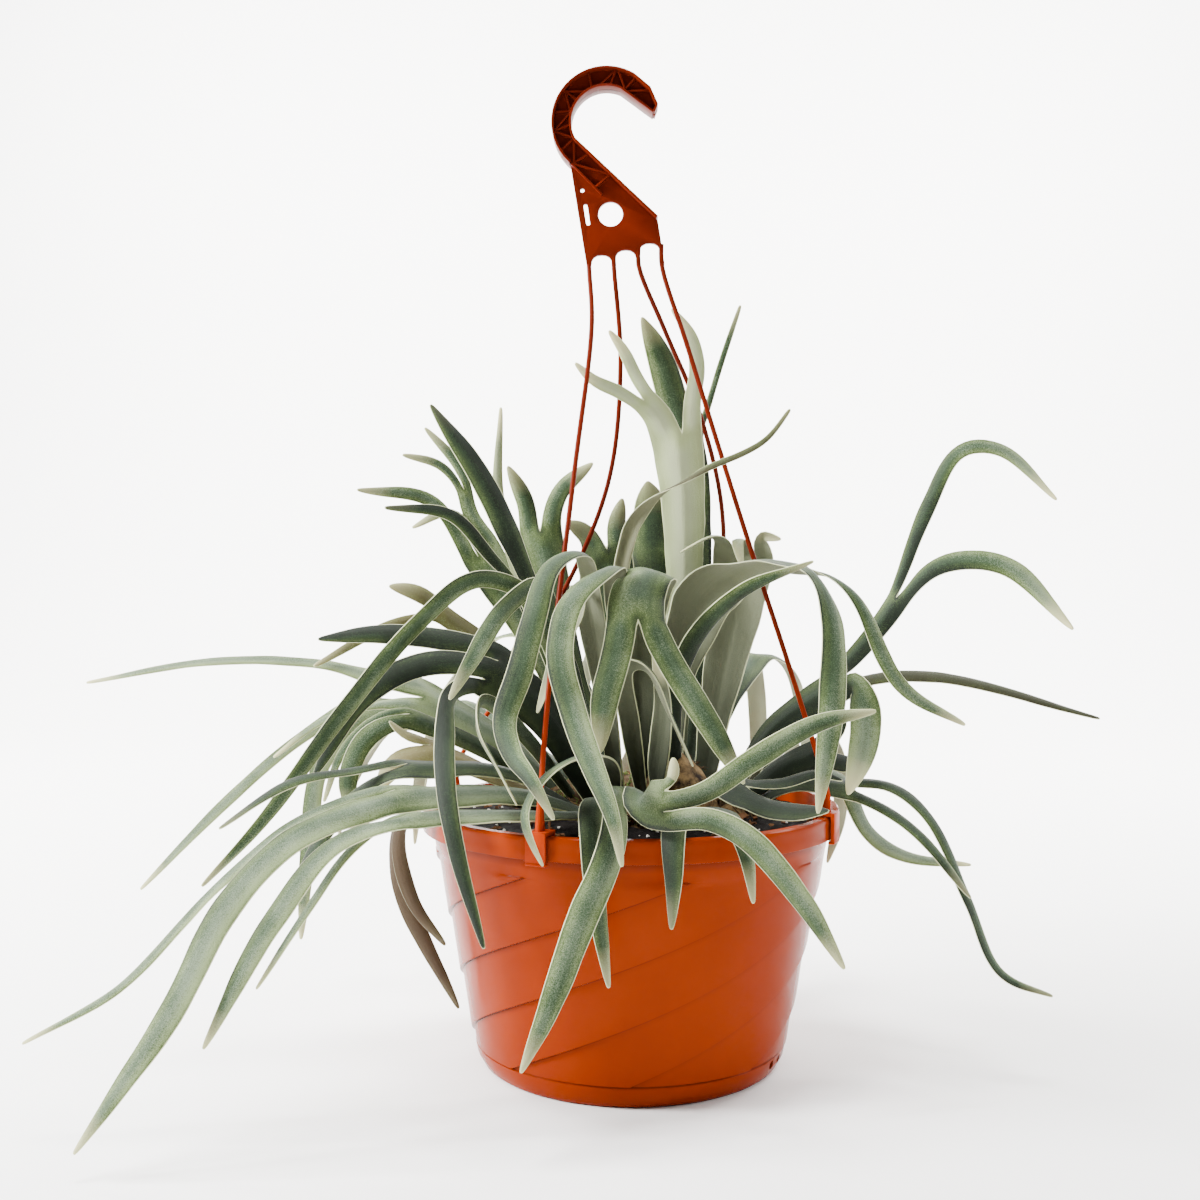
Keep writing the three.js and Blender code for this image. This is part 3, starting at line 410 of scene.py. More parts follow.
def tube(points, radii, sides):
    """Points and faces of a closed tube along a path."""
    made_points = []
    made_faces = []
    across = None
    for i, point in enumerate(points):
        ahead = (points[min(i + 1, len(points) - 1)] - points[max(i - 1, 0)]).normalized()
        across = ahead.orthogonal() if across is None else across - ahead * across.dot(ahead)
        across.normalize()
        up = ahead.cross(across)
        for side in range(sides):
            angle = 2 * math.pi * side / sides
            made_points.append(point + radii[i] * (math.cos(angle) * across + math.sin(angle) * up))
    for i in range(len(points) - 1):
        for side in range(sides):
            beside = (side + 1) % sides
            low, high = i * sides, (i + 1) * sides
            made_faces.append((low + side, low + beside, high + beside, high + side))
    made_faces.append(tuple(reversed(range(sides))))
    made_faces.append(tuple(range(len(made_points) - sides, len(made_points))))
    return made_points, made_faces


def gathered(name, parts):
    """One object from many small meshes, each given as points and faces."""
    points = []
    faces = []
    for part_points, part_faces in parts:
        start = len(points)
        points.extend(part_points)
        faces.extend(tuple(start + i for i in face) for face in part_faces)
    return mesh_piece(name, points, faces)


# Pot

def wall_radius(height):
    """Radius of the plain outer wall at a height, in millimetres."""
    pot = settings("pot")
    low, high = pot.base_radius / MM, pot.rim_radius / MM - BAND_DEPTH
    return low + (high - low) * height / (pot.height / MM)


# Where the columns of one rib stand as a share of its width: two close together make the sharp step
RIB_COLUMNS = [0, 0.012, 0.03, 0.12, 0.24, 0.36, 0.48, 0.6, 0.72, 0.84, 0.95, 0.99]
# How much of the painted shade colour the first three columns of a rib take, which make its step, as a
# painted shadow in it
STEP_SHADES = (0.3, 0.9, 0.15)
# How much of it the two lines of painted shade take, and how far below the top of the foot and below the rim
# band they run, in millimetres
LINE_SHADE = 0.7
FOOT_LINE = 0.5
BAND_LINE = 0.8
# How near to a line's height a point has to be to belong to it, in millimetres
CLOSE = 0.1
# The drain holes' places, in degrees round from the viewer's side towards the right
DRAIN_TURNS = (61, 68, 241, 248)


class FERN_OT_pot(bpy.types.Operator):
    """Moulds the pot with its rim band, swirled ribs, foot and drain holes"""
    bl_idname = "fern.pot"
    bl_label = "Pot"

    def execute(self, context):
        pot = settings("pot")
        height = pot.height / MM
        rim = pot.rim_radius / MM
        base = pot.base_radius / MM
        band = height - BAND_HEIGHT
        outer = [(0, 0), (base * 0.5, 0), (base - 5, 0), (base - 3.2, 0.3), (base - 1.9, 1.2),
                 (base - 1.2, 2.6), (wall_radius(7), 7), (wall_radius(FOOT_HEIGHT - 1.4), FOOT_HEIGHT - 1.4),
                 (wall_radius(FOOT_HEIGHT) - 0.7, FOOT_HEIGHT - FOOT_LINE)]
        rows = 34
        for row in range(rows + 1):
            z = FOOT_HEIGHT + (SWIRL_TOP - FOOT_HEIGHT) * row / rows
            outer.append((wall_radius(z), z))
        outer += [(wall_radius(SWIRL_TOP + 0.9), SWIRL_TOP + 0.9), (wall_radius(134), 134),
                  (wall_radius(band - BAND_LINE), band - BAND_LINE), (wall_radius(band) + 0.3, band),
                  (rim - 0.8, band), (rim - 0.2, band + 0.3), (rim, band + 1), (rim - 0.3, band + 5),
                  (rim - 0.3, height - 4), (rim, height - 2), (rim - 0.3, height - 0.8), (rim - 1.2, height)]
        inner = [(wall_radius(height) - WALL + 0.3, height), (wall_radius(height) - WALL, height - 0.6),
                 (wall_radius(120) - WALL, 120), (wall_radius(60) - WALL, 60),
                 (wall_radius(6) - WALL - 1, 6), (wall_radius(WALL) - WALL - 3, WALL), (0, WALL)]
        profile = [(radius * MM, z * MM) for radius, z in outer + inner]
        steps = SWIRL_RIBS * len(RIB_COLUMNS)
        piece = spun("pot_shell", profile, steps)
        # Each point's share of painted shade, in the steps of the swirl and the lines under the foot's top
        # and the rim band
        painted_shades = [self.swirl(vertex, steps, pot) for vertex in piece.data.vertices]
        store_values(piece, "painted_shade", painted_shades)
        holes = []
        for degrees in DRAIN_TURNS:
            turn = math.radians(degrees - 90)
            spot = Vector((math.cos(turn), math.sin(turn), 0)) * base * MM
            spot.z = DRAIN_HEIGHT * MM
            bpy.ops.mesh.primitive_cylinder_add(vertices=20, radius=2.6 * MM, depth=12 * MM, location=spot,
                                                rotation=(0, math.pi / 2, turn))
            holes.append(bpy.context.view_layer.objects.active)
        cutter = joined("drain_cutter", holes)
        apply_modifier(piece, "BOOLEAN", object=cutter, operation="DIFFERENCE", solver="EXACT")
        bpy.data.objects.remove(cutter)
        plastic = plastic_material("Polypropylene, moulded, terracotta", pot.colour, pot.shade, 0.24,
                                   painted_shade=pot.painted_shade)
        finished(piece, "pot_plastic", [plastic], "pot", angle=32)
        return {"FINISHED"}

    def swirl(self, vertex, steps, pot):
        """Moves a point of the round shell to its place on the swirl and tells how much painted shade it
        takes, in a step or in one of the two lines.
        """
        radius = math.hypot(vertex.co.x, vertex.co.y)
        if radius < 0.01:
            return 0.0
        column = round(math.atan2(vertex.co.y, vertex.co.x) / (2 * math.pi) * steps) % steps
        rib, part = divmod(column, len(RIB_COLUMNS))
        share = RIB_COLUMNS[part]
        z = vertex.co.z / MM
        rise = min(1, max(0, (z - FOOT_HEIGHT) / (SWIRL_TOP - FOOT_HEIGHT)))
        inside = radius / MM < wall_radius(z) - WALL * 0.75 and z > WALL - CLOSE
        lines = (FOOT_HEIGHT - FOOT_LINE, pot.height / MM - BAND_HEIGHT - BAND_LINE)
        # Painted shadow: the first columns of each step, and the lines under the foot's top and under the rim
        # band, are darkened
        painted_shade = 0.0
        if not inside and FOOT_HEIGHT - CLOSE < z < SWIRL_TOP + CLOSE:
            proud = 1 if part == 0 else share
            radius += pot.swirl_step * (proud - 0.5)
            painted_shade = STEP_SHADES[part] if part < len(STEP_SHADES) else 0.0
        elif not inside and any(abs(z - line) < CLOSE for line in lines):
            painted_shade = LINE_SHADE
        angle = (rib + share) / SWIRL_RIBS * 2 * math.pi + SWIRL_SWEEP * (1 if inside else rise)
        vertex.co.x = radius * math.cos(angle)
        vertex.co.y = radius * math.sin(angle)
        return painted_shade


# Potting mix

# The radius within which grains lie and the mix is heaped up, in millimetres
HEAP_RADIUS = 112
# The mix's clods and crumbs: their width in millimetres, how rough they are, how much finer each layer of
# them is than the one before, and their height in millimetres
CLODS = (26, 0.9, 2.1, 1.6)
CRUMBS = (4.5, 0.8, 2.0, 1.1)


def soil_height(x, y):
    """Height of the mix at a place, in millimetres."""
    radius = math.hypot(x, y)
    dome = settings("soil").dome / MM * max(0, 1 - (radius / HEAP_RADIUS) ** 2)
    spot = Vector((x, y, 0))
    lumps = 0
    for width, rough, gap, high in (CLODS, CRUMBS):
        lumps += noise.fractal(spot / width, rough, gap, 3) * high
    return SOIL_LEVEL + dome + lumps


def grain(place, size, seed, flat):
    """Points and faces of a small broken grain: a cube with its corners pushed about."""
    pick = random.Random(seed)
    turn = Matrix.Rotation(pick.uniform(0, 6.28), 3, Vector((pick.random(), pick.random(), 1)).normalized())
    points = []
    for x in (-1, 1):
        for y in (-1, 1):
            for z in (-1, 1):
                corner = Vector((x * pick.uniform(0.55, 1), y * pick.uniform(0.4, 0.9),
                                 z * flat * pick.uniform(0.5, 0.9)))
                points.append(place + turn @ corner * size / 2)
    faces = [(0, 1, 3, 2), (4, 6, 7, 5), (0, 4, 5, 1), (2, 3, 7, 6), (0, 2, 6, 4), (1, 5, 7, 3)]
    return points, faces


class FERN_OT_potting_mix(bpy.types.Operator):
    """Fills the pot with potting mix, perlite and bark"""
    bl_idname = "fern.potting_mix"
    bl_label = "Potting mix"

    def execute(self, context):
        soil = settings("soil")
        edge = wall_radius(SOIL_LEVEL) - WALL - 0.8
        profile = [(0, WALL + 0.6), (wall_radius(WALL) - WALL - 5, WALL + 0.6), (edge - 16, 80),
                   (edge - 0.4, SOIL_LEVEL - 4), (edge, SOIL_LEVEL)]
        rings = 56
        profile += [(edge * (1 - i / rings), SOIL_LEVEL) for i in range(1, rings + 1)]
        piece = spun("potting_mix_heap", [(radius * MM, z * MM) for radius, z in profile], 200)
        for vertex in piece.data.vertices:
            if vertex.co.z > (SOIL_LEVEL - 0.1) * MM:
                vertex.co.z = soil_height(vertex.co.x / MM, vertex.co.y / MM) * MM
        peat = mottled_material("Peat and coir, loose, damp", soil.colour, linear("#0b0806"), 3, 0.95, 1.2)
        finished(piece, "potting_mix", [peat], "potting_mix")
        self.scatter("perlite_grains", "Perlite, expanded", soil.perlite, soil.perlite_count, (0.8, 2.4),
                     0.9, 5)
        self.scatter("bark_chips", "Pine bark, shredded", soil.bark, soil.bark_count, (2.5, 7.5), 0.35, 9)
        return {"FINISHED"}

    def scatter(self, name, finish, colour, count, sizes, flat, seed):
        """Lays grains on the mix. Their least and greatest size is in millimetres."""
        pick = random.Random(seed)
        parts = []
        for i in range(count):
            radius = HEAP_RADIUS * math.sqrt(pick.random())
            angle = pick.uniform(0, 2 * math.pi)
            x, y = radius * math.cos(angle), radius * math.sin(angle)
            place = Vector((x, y, soil_height(x, y) + 0.2)) * MM
            parts.append(grain(place, pick.uniform(*sizes) * MM, seed * 1000 + i, flat))
        piece = gathered(name, parts)
        darker = [part * 0.55 for part in colour[:3]] + [1.0]
        finished(piece, "potting_mix", [mottled_material(finish, colour, darker, 2, 0.9, 0.3)], angle=40)


# Crown

# Lumps of old root and leaf bases: each one's middle and radii
CROWN_LUMPS = [
    ((22, -5, 156), (24, 22, 26)),
    ((-28, -2, 150), (28, 26, 18)),
    ((60, 6, 149), (24, 22, 15)),
    ((10, 34, 149), (36, 32, 17)),
    ((4, -40, 148), (30, 18, 14)),
]

# Papery shield fronds: the middle of each, the way it faces in plan, its width and height, and how far it
# leans back
SHIELDS = [
    ((29, -42, 160), 8, 38, 46, 22),
    ((47, -12, 152), 62, 40, 34, 30),
    ((2, -26, 150), -35, 40, 30, 38),
    ((-36, -24, 150), -20, 44, 26, 50),
    ((62, -12, 148), 20, 36, 24, 48),
    ((-50, 2, 149), -85, 40, 26, 46),
    ((14, 60, 148), 176, 54, 30, 44),
    ((-20, 48, 149), -150, 44, 28, 46),
    ((60, 26, 148), 120, 40, 26, 46),
]


# The root ball: the edge of the little cubes that it is joined in, the width of its knots and how far they
# stand out, in millimetres
ROOT_CUBE = 1.5
KNOT_WIDTH = 9
KNOT_HEIGHT = 1.6
# A shield frond's big and small teeth, how far its sides drop, and how much of it lies under its middle, as
# shares of its height
BIG_TEETH = 0.12
SMALL_TEETH = 0.05
SIDE_DROP = 0.42
SHIELD_FOOT = 0.35
# How far its middle bulges, its sides curl and it wrinkles, and how deep it sits in the crown, in millimetres
BULGE = 9
SIDE_CURL = 5
WRINKLE = 1.1
SHIELD_DEPTH = 4
# A root fibre: how many steps it wanders, how far it strays at each, how much it turns, and how much it falls
FIBRE_STEPS = 7
FIBRE_STRAY = 0.9
FIBRE_TURN = 0.35
FIBRE_FALL = 0.12
# The growing point among the shield fronds, and how far out its scales grow, in millimetres
GROWING_POINT = (24, -14, 181)
FUZZ_RADIUS = 15
# How wide the patches of moss are, and how far to the right they reach, in millimetres
MOSS_PATCH = 16
MOSS_END = 6


def any_way(pick, low, high):
    """A random direction with its rise between two values."""
    return Vector((pick.uniform(-1, 1), pick.uniform(-1, 1), pick.uniform(low, high)))


def crown_spot(pick):
    """A random place on the upper side of a lump, with the way that the surface faces there."""
    middle, radii = pick.choice(CROWN_LUMPS)
    way = any_way(pick, 0.05, 1).normalized()
    spot = Vector([m + w * r for m, w, r in zip(middle, way, radii)])
    facing = Vector([w / r for w, r in zip(way, radii)]).normalized()
    return spot, facing


def inside_crown(spot):
    """Whether a place lies more than half a millimetre deep in a lump."""
    return any(sum(((s - m) / (r - 0.5)) ** 2 for s, m, r in zip(spot, middle, radii)) < 1
               for middle, radii in CROWN_LUMPS)


def shield_sheet(seed, middle, turn, width, height, lean):
    """Points and faces of one cupped shield frond with a ragged upper edge."""
    facing = Matrix.Rotation(math.radians(turn), 3, "Z") @ Vector((0, -1, 0))
    side = facing.cross(Vector((0, 0, 1))).normalized() * -1
    rise = Matrix.Rotation(math.radians(-lean), 3, side) @ Vector((0, 0, 1))
    out = side.cross(rise).normalized()
    if out.dot(facing) < 0:
        out.negate()
    columns, rows = 22, 16
    points = []
    for row in range(rows + 1):
        for column in range(columns + 1):
            u = 2 * column / columns - 1
            v = row / rows
            ragged = 1 + BIG_TEETH * noise.noise(Vector((u * 4, seed * 3.1, 0))) * v
            ragged += SMALL_TEETH * noise.noise(Vector((u * 17, seed * 1.7, 4))) * v
            half = width / 2 * (0.62 + 0.5 * math.sin(math.pi * min(1, v * 0.72 + 0.12)))
            top = height * ragged * (1 - SIDE_DROP * u * u)
            bulge = BULGE * (1 - u * u) * math.sin(math.pi * min(1, v * 0.8 + 0.2)) - SIDE_CURL * u * u
            bulge += WRINKLE * noise.noise(Vector((u * 3 + seed, v * 2.2, 1.5))) - SHIELD_DEPTH
            spot = Vector(middle) + side * half * u + rise * top * (v - SHIELD_FOOT) + out * bulge
            points.append(spot * MM)
    faces = []
    for row in range(rows):
        for column in range(columns):
            low = row * (columns + 1) + column
            high = low + columns + 1
            faces.append((low, low + 1, high + 1, high))
    return points, faces


class FERN_OT_crown(bpy.types.Operator):
    """Grows the crown: matted roots, papery shield fronds, dark fuzz and moss"""
    bl_idname = "fern.crown"
    bl_label = "Crown"

    def execute(self, context):
        crown = settings("crown")
        self.root_ball(crown)
        self.shields(crown)
        self.fibres(crown)
        self.fuzz(crown)
        self.moss(crown)
        return {"FINISHED"}

    def root_ball(self, crown):
        lumps = []
        for middle, radii in CROWN_LUMPS:
            bpy.ops.mesh.primitive_ico_sphere_add(subdivisions=4, radius=1, location=Vector(middle) * MM,
                                                  scale=Vector(radii) * MM)
            apply_all(bpy.context.view_layer.objects.active)
            lumps.append(bpy.context.view_layer.objects.active)
        piece = joined("root_ball", lumps)
        apply_modifier(piece, "REMESH", mode="VOXEL", voxel_size=ROOT_CUBE * MM)
        for vertex in piece.data.vertices:
            knot = noise.fractal(vertex.co / MM / KNOT_WIDTH, 0.9, 2.0, 4) - 0.5
            vertex.co += vertex.normal * KNOT_HEIGHT * knot * MM
        roots = mottled_material("Old roots and leaf bases, matted", crown.fibre, crown.fuzz, 4, 0.95, 1.5)
        finished(piece, "crown", [roots], "crown")

    def shields(self, crown):
        pieces = []
        for seed, shield in enumerate(SHIELDS):
            pieces.append(gathered(f"shield_{seed}", [shield_sheet(seed, *shield)]))
        piece = joined("shield_fronds", pieces)
        apply_modifier(piece, "SOLIDIFY", thickness=0.9 * MM, offset=0)
        apply_modifier(piece, "SUBSURF", levels=1, render_levels=1)
        papery = mottled_material("Shield frond, dried, papery", crown.shield, crown.shield_dark, 6, 0.85,
                                  0.5, 1.4)
        finished(piece, "crown", [papery])

    def fibres(self, crown):
        pick = random.Random(21)
        parts = []
        for _ in range(crown.fibre_count):
            spot, facing = crown_spot(pick)
            ahead = facing.orthogonal().normalized()
            ahead.rotate(Matrix.Rotation(pick.uniform(0, 6.28), 3, facing))
            path = []
            for _ in range(FIBRE_STEPS):
                wander = any_way(pick, -1, 1)
                spot = spot + ahead * pick.uniform(1.5, 3) + wander * FIBRE_STRAY
                ahead = (ahead + wander * FIBRE_TURN - Vector((0, 0, FIBRE_FALL))).normalized()
                path.append(spot * MM)
            width = pick.uniform(0.25, 0.55) * MM
            parts.append(tube(path, [width] * (FIBRE_STEPS - 1) + [width * 0.4], 4))
        roots = mottled_material("Root fibres, dried", crown.fibre, crown.shield_dark, 5, 0.9, 0.2)
        finished(gathered("root_fibres", parts), "crown", [roots])

    def fuzz(self, crown):
        pick = random.Random(8)
        parts = []
        for _ in range(crown.scale_count):
            angle = pick.uniform(0, 2 * math.pi)
            reach = FUZZ_RADIUS * math.sqrt(pick.random())
            back = 0.7 * reach * math.sin(angle)
            fall = 0.03 * reach * reach + 0.3 * abs(back)
            middle = Vector(GROWING_POINT) + Vector((reach * math.cos(angle), back, -fall))
            lean = any_way(pick, 0.5, 1.6).normalized()
            parts.append(self.scale_blade(middle, lean, pick.uniform(2.5, 5.5), pick.uniform(0.3, 0.6)))
        dark = mottled_material("Scales of the growing point, dry", crown.fuzz, linear("#120b08"), 2, 0.95,
                                0.1)
        finished(gathered("growing_point_scales", parts), "crown", [dark])

    def moss(self, crown):
        pick = random.Random(14)
        parts = []
        while len(parts) < crown.moss_count:
            spot, facing = crown_spot(pick)
            patch = noise.noise(spot / MOSS_PATCH + Vector((3.1, 0, 0)))
            if spot.x > MOSS_END or patch < 0.02 or inside_crown(spot):
                continue
            lean = (facing + 0.6 * any_way(pick, 0, 1)).normalized()
            parts.append(self.scale_blade(spot, lean, pick.uniform(1.2, 2.8), pick.uniform(0.35, 0.6)))
        green = mottled_material("Moss, living", crown.moss, linear("#33401d"), 3, 0.9, 0.1)
        finished(gathered("moss_leaves", parts), "crown", [green])

    def scale_blade(self, spot, lean, length, width):
        """Points and faces of a tiny closed spike."""
        side = lean.orthogonal().normalized() * width
        other = lean.cross(side).normalized() * width
        corners = [spot + side, spot - side * 0.5 + other * 0.8, spot - side * 0.5 - other * 0.8,
                   spot + lean * length]
        return [corner * MM for corner in corners], [(0, 2, 1), (0, 1, 3), (1, 2, 3), (2, 0, 3)]


# Fronds

def slope(before, here, after, first, second):
    """How a smooth curve passes a point, from the points beside it and the gaps to them."""
    return (here - before) / first - (after - before) / (first + second) + (after - here) / second


def smooth_point(points, place):
    """A point of the smooth curve through the points. Place counts from 0 at the first to the last."""
    last = len(points) - 1
    i = min(int(place), last - 1)
    part = place - i
    before = points[i - 1] if i > 0 else 2 * points[0] - points[1]
    start, end = points[i], points[i + 1]
    after = points[i + 2] if i + 2 <= last else 2 * points[last] - points[last - 1]
    gaps = [math.sqrt((b - a).length) for a, b in ((before, start), (start, end), (end, after))]
    leave = slope(before, start, end, gaps[0], gaps[1]) * gaps[1]
    reach = slope(start, end, after, gaps[1], gaps[2]) * gaps[1]
    return (start + leave * part + (3 * (end - start) - 2 * leave - reach) * part ** 2
            + (2 * (start - end) + leave + reach) * part ** 3)


class Route:
    """The smooth line that a lobe follows, read at even steps. Its lead point only sets which way it
    starts."""

    def __init__(self, lead, knots):
        points = [lead, *knots]
        count = 160
        self.fine = [smooth_point(points, 1 + (len(points) - 2) * i / count) for i in range(count + 1)]
        self.reach = [0.0]
        for a, b in zip(self.fine, self.fine[1:]):
            self.reach.append(self.reach[-1] + (b - a).length)
        self.length = self.reach[-1]

    def at(self, share):
        want = share * self.length
        i = 1
        while i < len(self.fine) - 1 and self.reach[i] < want:
            i += 1
        part = (want - self.reach[i - 1]) / (self.reach[i] - self.reach[i - 1])
        return self.fine[i - 1].lerp(self.fine[i], part)

    def ahead(self, share):
        """The way that the line goes at a share of its length."""
        return (self.at(min(1, share + 0.02)) - self.at(max(0, share - 0.02))).normalized()


def squared(up, ahead):
    """A direction turned so far that it is square to the way ahead."""
    return (up - ahead * up.dot(ahead)).normalized()


def lobe(width, path, *lobes):
    """A lobe: its greatest width, the points that it passes, and the lobes that it forks into."""
    return {"width": width, "path": path, "lobes": lobes}


def frond(name, foot, width, facing, path, *lobes):
    """A frond: the width of its stalk's foot, its width at the fork, the way its upper face looks at first,
    the points that it passes, and its lobes."""
    return {"name": name, "foot": foot, "facing": facing, "start": path[0], **lobe(width, path[1:], *lobes)}


def turned(way, part):
    """A lobe whose upper face turns to look a way of its own."""
    return {**part, "turn": way}


TO_VIEWER = (0, -1, 0)
FROM_VIEWER = (0, 1, 0)

